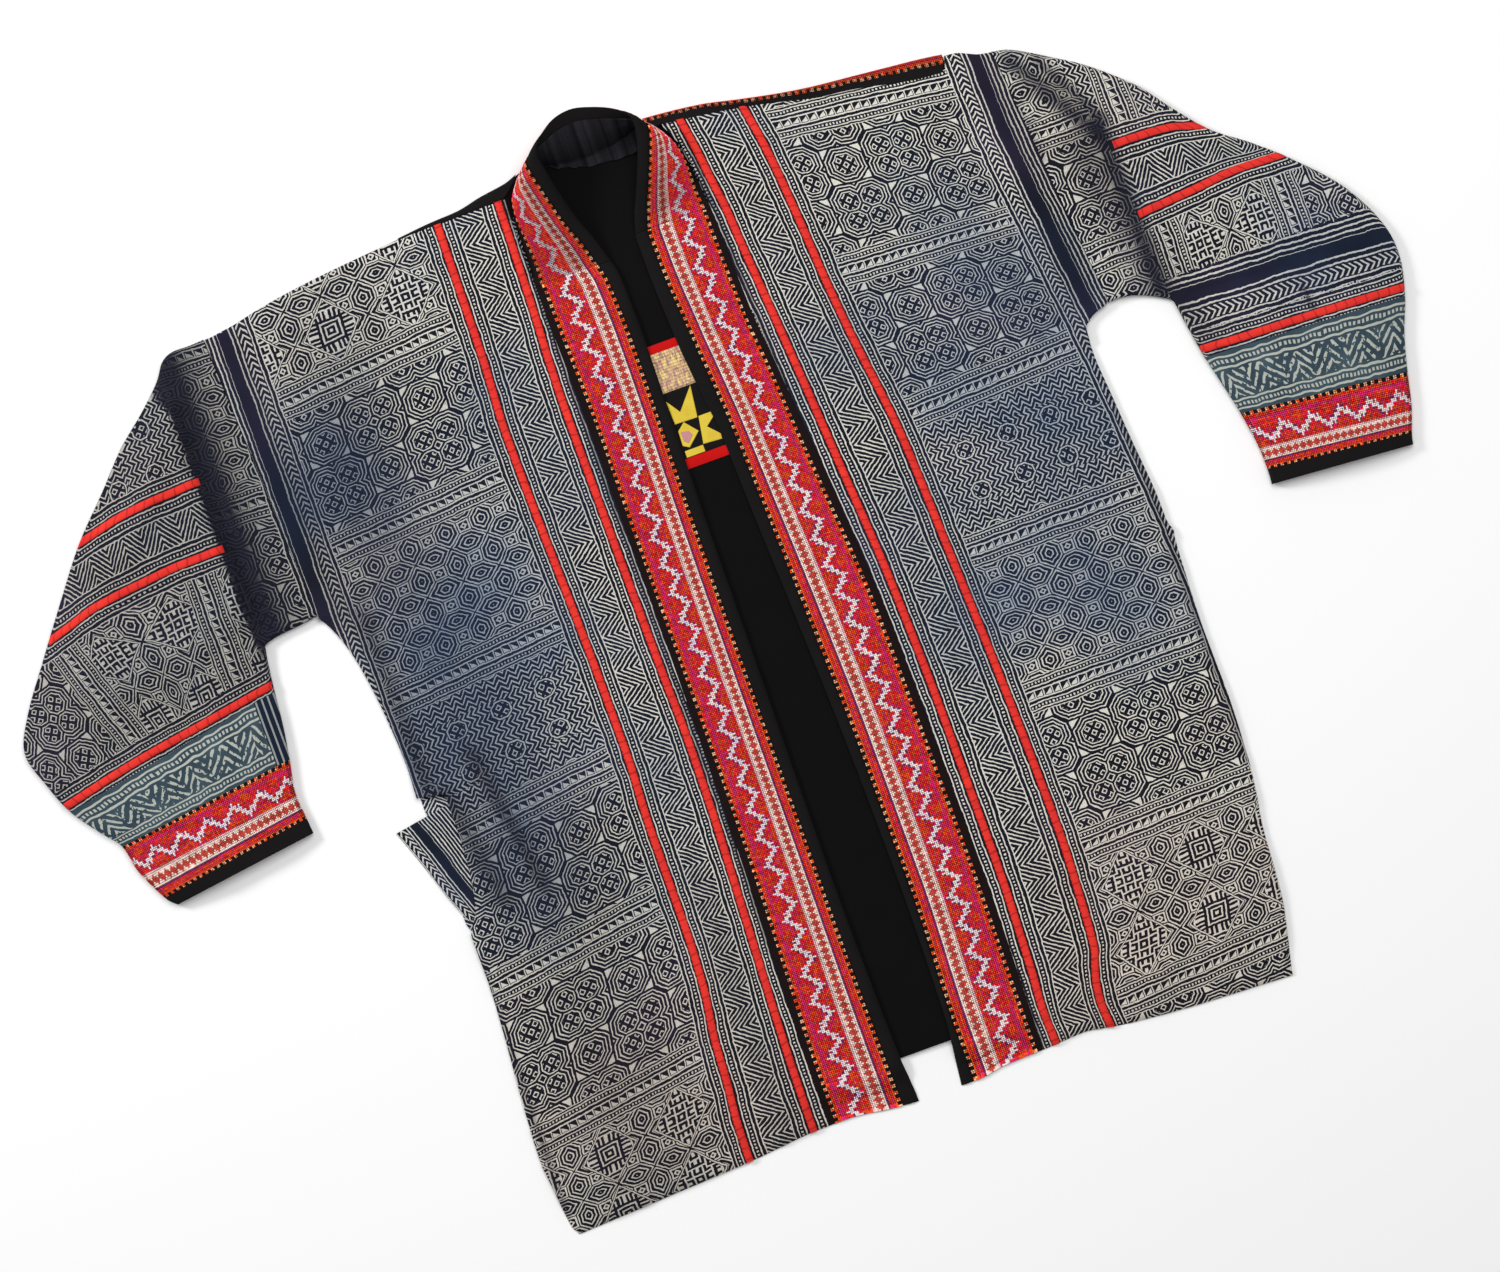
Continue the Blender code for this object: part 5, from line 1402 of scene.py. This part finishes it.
def makeInside():
    left, right, low = innerLook["lining"]
    columns, rows = innerLook["liningCells"]
    base = layout["wall"] + layout["seam"]
    x, share = np.linspace(left, right, columns)[None, :], np.linspace(0, 1, rows)[:, None]
    y = mix(low, smooth(innerLook["neckline"], x), share)
    x = x + 0 * y
    over = stack(x, y, base + 0.85 + 0.25 * ripple(x, y, 30, 80))
    rolledEdge(over, ("hem", "first", "last"), 1.2, 0.4)
    piece = clothShell("backLining", stack(x, y, base + 0 * x), over, "lining")
    settle(piece, "back_lining", "black_cotton")
    for node, (name, box, cloth, slot) in innerLook["patches"].items():
        piece = patchSheet(name, box, 1.0, cloth, 0.15)
        settle(piece, node, slot)
        # a sheet is at least 10 mm wide; the area of each narrow trim is worked out here but not
        # used; a sheet is at least 10 mm wide, so the narrow trims give their own area
        size = (box[1] - box[0]) * 0.001, (box[3] - box[2]) * 0.001
        wide = min(size) >= 0.01
        None if wide else size[0] * size[1]
    piece = patchSheet("patchStarGround", innerLook["star"], 0.9, "black", 0.12)
    settle(piece, "patch_star", "yellow_patchwork")


def makePocket():
    rows = np.linspace(-118, -41.5, 27)
    outer = smooth([(y, a) for y, a, b in pocketFacing], rows)[:, None]
    inner = smooth([(y, b) for y, a, b in pocketFacing], rows)[:, None]
    share = np.linspace(0, 1, 17)[None, :]
    x = mix(outer, inner, share)
    y = rows[:, None] + 9.5 * share * ramp(-100, -41.5, rows)[:, None]
    edge = innerLook["backEdge"]
    z = layout["wall"] + layout["seam"] - 1.6 * ramp(edge, edge - 18, x)
    over = stack(x, y, z + layout["trim"] + 0.15 * ripple(x, y, 20, 90))
    piece = clothShell("pocketFacing", stack(x, y, z), rolledEdge(over, ("top", "first")), "batik")
    u = batikLook["selvedge"] + 3 + 1.3 * (x - outer)
    markCloth(piece, np.stack([u, y], axis=-1), {"fade": 0.2 + 0 * x},
              lambda middles: {title: np.full(len(middles), value) for title, value in
                               (("blockKind", 1.0), ("barMiddle", noBar), ("blockMiddle", 0.0))})
    settle(piece, "pocket_facing")


def backOutline():
    def shoulderSeam(side, start, end):
        rows = np.linspace(start, end, 30)
        return [(x, float(smooth(shoulder[side], x)) - layout["shoulderBand"]) for x in rows]

    outline = []
    for x in np.arange(-262, 281, 6.0):
        side = "right" if x < 10 else "left"
        outline.append((x, float(smooth(frontHem[side], x)) + layout["backHem"]))
    rows = np.arange(-300, 284, 6.0)
    outline += [(float(frontLine("left", "side", y)) - 0.2, y) for y in rows]
    outline += [(300.4, 340), (285, 344), (271, 349)] + shoulderSeam("left", 263.2, 48.5)
    outline += [(42, 366), (30, 367), (3, 366.8), (-24, 366.5), (-41, 365)] + shoulderSeam("right", -47.5, -264)
    outline += [(-271, 343.5), (-301.6, 339)]
    for y in rows[::-1]:
        # cut back behind the pocket
        x = float(frontLine("right", "side", y)) + 0.2
        outline.append((innerLook["backEdge"] + 1.0 if -125 < y < -20 else x, y))
    return outline


# Metres here: the back is a filled outline with a small bevel, lifted onto the floor.
backLook = {"extrude": 0.0005, "bevel": 0.00025, "lift": 0.00075, "weld": 0.00001, "mapShift": (400, 0)}


def makeBack():
    middleX, middleY, _ = layout["middle"]
    outline = backOutline()
    curve = bpy.data.curves.new("backOutline", "CURVE")
    curve.dimensions = "2D"
    curve.fill_mode = "BOTH"
    curve.extrude = backLook["extrude"]
    curve.bevel_depth = backLook["bevel"]
    curve.bevel_resolution = 1
    line = curve.splines.new("POLY")
    line.points.add(len(outline) - 1)
    for point, (x, y) in zip(line.points, outline):
        point.co = ((x - middleX) * 0.001, (y - middleY) * 0.001, 0, 1)
    line.use_cyclic_u = True
    mesh = evaluated(addObject("backOutline", curve))
    mesh.name = "backCloth"
    for vertex in mesh.vertices:
        vertex.co.z += backLook["lift"]
    mend(mesh, lambda work: bmesh.ops.remove_doubles(work, verts=work.verts, dist=backLook["weld"]))
    mesh.materials.clear()
    mesh.materials.append(cloths["batik"])
    mesh.set_sharp_from_angle(angle=0.7)
    while mesh.uv_layers:
        mesh.uv_layers.remove(mesh.uv_layers[0])
    places = np.array([vertex.co[:2] for vertex in mesh.vertices])[cornersOf(mesh)] * 1000
    setMap(mesh, places * (-1, 1) - backLook["mapShift"])
    for title, value in (("blockKind", 1.0), ("barMiddle", noBar), ("blockMiddle", 0.0), ("fade", 0.3)):
        setMark(mesh, title, "FACE", np.full(len(mesh.polygons), value))
    piece = addObject("backCloth", mesh)
    settle(piece, "back_panel")


makeInside()
makePocket()
makeBack()
print("inside ready")


# Counted stitches and running stitches, one small form on each point of a piece.
stitchLook = {
    "columns": 35, "size": 1.0, "unevenness": 0.2, "lowest": 0.36,
    "running": {"pitch": 3.4, "length": 2.1, "width": 0.5, "shifts": (-2.5, 2.5), "height": 0.95},
    "palette": {
        "red": tone(255, 54, 46), "deep": tone(242, 32, 46), "magenta": tone(238, 44, 116),
        "orange": tone(255, 92, 28), "cream": tone(255, 240, 234), "rose": tone(250, 192, 200),
        "strip": tone(255, 226, 212), "diamond": tone(210, 74, 64), "lilac": tone(238, 216, 244),
        "purple": tone(124, 48, 104), "tooth": tone(250, 196, 150), "stripThread": tone(190, 34, 28),
    },
}
stitchForms = {
    "knot": ([(-0.5, -0.5, -0.1), (0.5, -0.5, -0.1), (0.5, 0.5, -0.1), (-0.5, 0.5, -0.1), (0, 0, 0.25)],
             [(0, 1, 4), (1, 2, 4), (2, 3, 4), (3, 0, 4)]),
    "dash": ([(0, -0.5, -0.1), (0.5, -0.2, 0.1), (0.5, 0.2, 0.1), (0, 0.5, -0.1), (-0.5, 0.2, 0.1),
              (-0.5, -0.2, 0.1), (0, -0.2, 0.5), (0, 0.2, 0.5)],
             [(0, 1, 6), (1, 2, 7, 6), (2, 3, 7), (3, 4, 7), (4, 5, 6, 7), (5, 0, 6)]),
}


def stitchForm(name):
    points, faces = stitchForms[name]
    mesh = bpy.data.meshes.new(name)
    mesh.from_pydata([tuple(c * 0.001 for c in point) for point in points], [], faces)
    return addObject(name, mesh)


def stitchTree():
    tree = bpy.data.node_groups.new("stitches", "GeometryNodeTree")
    for title, kind in (("Geometry", "Geometry"), ("Stitch form", "Object"), ("Thread", "Material"),
                        ("Size", "Float"), ("Unevenness", "Float"), ("Seed", "Int")):
        tree.interface.new_socket(name=title, in_out="INPUT", socket_type="NodeSocket" + kind)
    tree.interface.new_socket(name="Geometry", in_out="OUTPUT", socket_type="NodeSocketGeometry")

    def add(kind, settings=None, values=None):
        node = tree.nodes.new(kind)
        for key, value in (settings or {}).items():
            setattr(node, key, value)
        for key, value in (values or {}).items():
            if isinstance(value, bpy.types.NodeSocket):
                tree.links.new(value, node.inputs[key])
            else:
                node.inputs[key].default_value = value
        return node.outputs

    given = add("NodeGroupInput")
    form = add("GeometryNodeObjectInfo", {"transform_space": "ORIGINAL"}, {"Object": given["Stitch form"]})
    turn, reach = (add("GeometryNodeInputNamedAttribute", {"data_type": "FLOAT_VECTOR"}, {"Name": title})[0]
                   for title in ("turn", "reach"))
    turn = add("FunctionNodeEulerToRotation", {}, {0: turn})[0]
    chance = add("FunctionNodeRandomValue", {"data_type": "FLOAT"}, {2: -0.5, 3: 0.5, "Seed": given["Seed"]})[1]
    change = {0: chance, 1: given["Unevenness"], 2: 1.0}
    change = add("ShaderNodeMath", {"operation": "MULTIPLY_ADD"}, change)[0]
    change = add("ShaderNodeMath", {"operation": "MULTIPLY"}, {0: change, 1: given["Size"]})[0]
    scale = add("ShaderNodeVectorMath", {"operation": "SCALE"}, {0: reach, "Scale": change})[0]
    placed = add("GeometryNodeInstanceOnPoints", {}, {"Points": given["Geometry"], "Instance": form["Geometry"],
                                                      "Rotation": turn, "Scale": scale})[0]
    real = add("GeometryNodeRealizeInstances", {}, {"Geometry": placed})[0]
    dyed = add("GeometryNodeSetMaterial", {}, {"Geometry": real, "Material": given["Thread"]})[0]
    add("NodeGroupOutput", {}, {"Geometry": dyed})
    return tree


stitchGroup = stitchTree()
knotForm, dashForm = stitchForm("knot"), stitchForm("dash")


def stitchField(name, centres, across, ahead, dyes, form, slot, seed):
    # one stitch on each centre, turned to lie on the cloth
    def unit(vectors):
        return vectors / np.maximum(np.linalg.norm(vectors, axis=1, keepdims=True), 1e-9)
    z, x = unit(np.cross(across, ahead)), unit(across)
    y = np.cross(z, x)
    turn = np.stack([np.arctan2(y[:, 2], z[:, 2]), -np.arcsin(np.clip(x[:, 2], -1, 1)),
                     np.arctan2(x[:, 1], x[:, 0])], axis=1)
    reach = np.stack([np.linalg.norm(across, axis=1), np.linalg.norm(ahead, axis=1), np.ones(len(z))], axis=1)
    mesh = bpy.data.meshes.new(name + "Points")
    setVertices(mesh, centres)
    setMark(mesh, "turn", "POINT", turn, "FLOAT_VECTOR", "vector")
    setMark(mesh, "reach", "POINT", reach, "FLOAT_VECTOR", "vector")
    setMark(mesh, "dye", "POINT", dyes, "FLOAT_COLOR", "color")
    points = addObject(name + "Points", mesh)
    made = points.modifiers.new("stitches", "NODES")
    made.node_group = stitchGroup
    wanted = {"Stitch form": form, "Thread": cloths["thread"], "Size": stitchLook["size"],
              "Unevenness": stitchLook["unevenness"], "Seed": seed}
    for socket in stitchGroup.interface.items_tree:
        if socket.in_out == "INPUT" and socket.name in wanted:
            made[socket.identifier] = wanted[socket.name]
    result = evaluated(points)
    result.name = name
    settle(addObject(name, result), slot=slot)


def chart(i, j, seed):
    # the colour of each counted stitch: i from the opening or the cuff's end, j along the band
    dice = np.random.default_rng(seed)
    chance = dice.random(i.shape)
    names = np.full(i.shape, "red", dtype="<U12")
    names[chance < 0.3] = "deep"
    names[(chance > 0.82) | (((i + j) % 5 == 0) & (chance > 0.55))] = "magenta"
    phase = j % 16
    names[(i == 18) | (i == 29) | (i == 30)] = "magenta"
    names[(i >= 15) & (i <= 19) & (phase >= 4) & (phase <= 12) & (chance > 0.5)] = "orange"
    names[(i >= 25) & (i <= 29) & ((phase <= 3) | (phase >= 14)) & (chance > 0.5)] = "orange"
    names[(i > 30) & (chance > 0.5)] = "orange"
    # the stepped zigzag with its spurs
    levels = np.array((18, 18, 18, 20, 20, 22, 22, 22, 24, 24, 24, 22, 22, 20, 20, 20))
    low = np.minimum(levels[phase], levels[(phase + 1) % 16])
    high = np.maximum(levels[phase], levels[(phase + 1) % 16])
    names[((i == low - 1) | (i == high + 2)) & (chance < 0.45)] = "purple"
    path = (i >= low) & (i <= high + 1)
    for row, first, last in ((0, 15, 18), (9, 25, 28), (5, 23, 26), (13, 17, 20)):
        path |= (phase == row) & (i > first) & (i < last)
    names[path] = np.where(chance[path] < 0.25, "lilac", "cream")
    # diamonds on a cream strip, then the edges
    inStrip = (i >= 7) & (i <= 13)
    names[inStrip] = "strip"
    names[inStrip & (np.abs(i - 10) <= np.array((0, 1, 2, 1))[j % 4])] = "diamond"
    names[i == 14] = "rose"
    names[i == 6] = "purple"
    names[(i == 2) | ((i == 4) & (chance < 0.6))] = "orange"
    teeth = (i < 2) | (i > 32)
    names[teeth] = np.where(chance[teeth] < 0.5, "tooth", "orange")
    light = dice.uniform(0.84, 1.2, i.shape)
    light[path] = 1.0
    dyes = np.array([stitchLook["palette"][name] for name in names.ravel()]).reshape(i.shape + (4,))
    dyes[..., :3] *= light[..., None]
    return dyes, ~(teeth & (j % 4 > 1)), np.where(inStrip | path, 1.12, 1.0)


def countedStitches(name, grid, seed):
    # grid holds the corners of every stitch, its first column at the opening side
    a, b, c, d = grid[:-1, :-1], grid[1:, :-1], grid[:-1, 1:], grid[1:, 1:]
    centre, across, ahead = (a + b + c + d) / 4, (c + d - a - b) / 2, (b + d - a - c) / 2
    j, i = np.indices(centre.shape[:2])
    dyes, keep, wide = chart(i, j, seed)
    across, ahead = across * wide[..., None], ahead * wide[..., None]
    stitchField(name, centre[keep], across[keep], ahead[keep], dyes[keep], knotForm, "embroidery", seed)


def bandStitches(side, seed):
    rows = np.linspace(0, collarRow, int(round(641 / layout["stitch"])) + 1)
    x, y = frontPlan(side, ("inner", "outer"), np.linspace(0, 1, stitchLook["columns"] + 1), rows)
    grid = bandTop(side, x, y)
    countedStitches("bandStitches_" + side, grid[::-1] if side == "right" else grid, seed)


def collarStitches():
    def reach(total):
        return np.linspace(total - collarLook["binding"] - 0.2, 4.0, stitchLook["columns"] + 1)
    countedStitches("collarStitches", collarGrid(reach, layout["stitch"], layout["wall"] - layout["sunk"]), 13)


def shoulderStitches():
    outer = leftShoulderGrid(layout["stitch"], 8)[0]
    grid = np.array([evenly(points, 27)[::-1] for points in outer])
    grid[..., 2] = np.maximum(grid[..., 2], stitchLook["lowest"])
    countedStitches("shoulderStitches_left", grid, 14)
    start, end = shoulderLook["right"]
    x = np.linspace(start, end, int((end - start) / layout["stitch"]))[:, None]
    y = smooth(shoulder["right"], x) - np.linspace(0.6, layout["shoulderBand"] - 0.6, 19)[None, :]
    x = x + 0 * y
    countedStitches("shoulderStitches_right", stack(x, y, 0 * x + stitchLook["lowest"]), 15)


def cuffStitches(side, seed):
    first, last, _ = sleeveLook["parts"]["cuff"]
    rings = cuffRings(side, np.linspace(last, first, stitchLook["columns"] + 1))
    rings = np.concatenate([rings, rings[:, :1]], axis=1)
    girth = int(round(rowLength(rings[18]) / layout["stitch"]))
    grid = np.array([evenly(ring, girth + 1) for ring in rings]).transpose(1, 0, 2)
    countedStitches("cuffStitches_" + side, grid[::-1] if side == "right" else grid, seed)


def stripSeams(side):
    # the lines of running stitches that hold the red strips
    look, parts = stitchLook["running"], []
    for name in ("strip_1", "strip_2"):
        for shift in look["shifts"]:
            x, y = frontPlan(side, (name, name), [0], frontRows(), [shift])
            z = frontFloor(side, x, y) + layout["wall"] + relief(side, x, y) + look["height"]
            line = stack(x, y, z)[:, 0]
            at = np.arange(look["pitch"] / 2, distances(line)[-1], look["pitch"])
            middle = along(line, at)
            way = along(line, at + 0.8) - middle
            way /= np.maximum(np.linalg.norm(way, axis=1, keepdims=True), 1e-6)
            parts.append((middle, np.cross(way, (0, 0, 1)) * look["width"], way * look["length"]))
    centres, across, ahead = (np.concatenate(part) for part in zip(*parts))
    dyes = np.repeat(np.array([stitchLook["palette"]["stripThread"]]), len(centres), axis=0)
    stitchField("stripStitches_" + side, centres, across, ahead, dyes, dashForm, "red_cotton", 4)


for side, seed in (("right", 11), ("left", 12)):
    bandStitches(side, seed)
    cuffStitches(side, seed + 5)
    stripSeams(side)
collarStitches()
shoulderStitches()
for form in (knotForm, dashForm):
    bpy.data.objects.remove(form)
print("stitches ready")


# The pieced star: each yellow or pink patch by its corners, x and y, and its rings by size and height.
starPieces = {
    "yellow": (
        ((-5, 184), (2, 173.5), (15.5, 189.5), (12.5, 166), (-4.5, 166.5)),
        ((2, 166), (10, 156.5), (0, 147.5), (-4.5, 150), (-4, 161)),
        ((13.5, 166.5), (23.5, 166.5), (23.5, 163), (16.5, 157.5), (24.5, 149), (24, 145.5), (10, 146.5)),
        ((-4.5, 146), (9.5, 146), (9.5, 141), (-4.5, 141)),
    ),
    "pink": (((-2.5, 160), (3, 159), (5, 155.5), (0, 150.5), (-2.5, 153)),),
}
starRings = ((1.0, -0.3), (1.0, 0.15), (0.93, 0.42))
starLift = {"yellow": 0.0, "pink": 0.45}


def makeStar():
    for colour, shapes in starPieces.items():
        points, faces = [], []
        base = patchFloor + 0.8 + starLift[colour]
        for shape in shapes:
            middle, start, count = np.mean(shape, axis=0), len(points), len(shape)
            for size, z in starRings:
                points += [(*(middle + (np.array(corner) - middle) * size), base + z) for corner in shape]
            for ring in range(2):
                for k in range(count):
                    a, b = start + ring * count + k, start + ring * count + (k + 1) % count
                    faces.append((a, b, b + count, a + count))
            faces.append(tuple(start + 2 * count + k for k in range(count)))
            faces.append(tuple(start + k for k in range(count))[::-1])
        mesh = bpy.data.meshes.new("star_" + colour)
        mesh.from_pydata([tuple(point) for point in toMetres(np.array(points))], [], faces)
        mesh.materials.append(cloths[colour])
        mend(mesh, lambda work: bmesh.ops.recalc_face_normals(work, faces=work.faces))
        settle(addObject("star_" + colour, mesh), slot="yellow_patchwork")


makeStar()
print("patch ready")


# Floor, light and camera, in metres.
stageLook = {"floor": tone(250, 250, 250), "below": -0.0004, "reach": ((-6, -6), (6, -6), (6, 6), (-6, 6)),
             "height": 3.0, "lens": 100.0, "turn": -20.0, "centre": (-0.0067, -0.0167)}

floorMesh = bpy.data.meshes.new("floor")
floorMesh.from_pydata([(x, y, stageLook["below"]) for x, y in stageLook["reach"]], [], [(0, 1, 2, 3)])
floorMesh.materials.append(Graph("paper").finish(Base_Color=stageLook["floor"], Roughness=0.9))
floor = addObject("floor", floorMesh)


def areaLight(name, power, size, place, turn):
    lamp = bpy.data.lights.new(name, "AREA")
    lamp.energy = power
    lamp.size = size
    holder = addObject(name, lamp)
    holder.location = place
    holder.rotation_euler = [radians(angle) for angle in turn]


areaLight("softTop", 34, 1.6, (0.5, 0.8, 2.4), (-18, 12, 0))
areaLight("softLeft", 62, 0.8, (-2.3, 2.0, 1.9), (-38, -40, 0))

world = bpy.context.scene.world or bpy.data.worlds.new("world")
bpy.context.scene.world = world
world.use_nodes = True
world.node_tree.nodes["Background"].inputs["Color"].default_value = (1, 1, 1, 1)
world.node_tree.nodes["Background"].inputs["Strength"].default_value = 0.4
bpy.context.scene.view_settings.view_transform = "Standard"

cameraData = bpy.data.cameras.new("camera")
cameraData.lens = stageLook["lens"]
cameraData.sensor_width = 36.0
cameraData.clip_end = 50.0
camera = addObject("camera", cameraData)
camera.location = (*stageLook["centre"], stageLook["height"])
camera.rotation_euler = (0, 0, radians(stageLook["turn"]))
bpy.context.scene.camera = camera
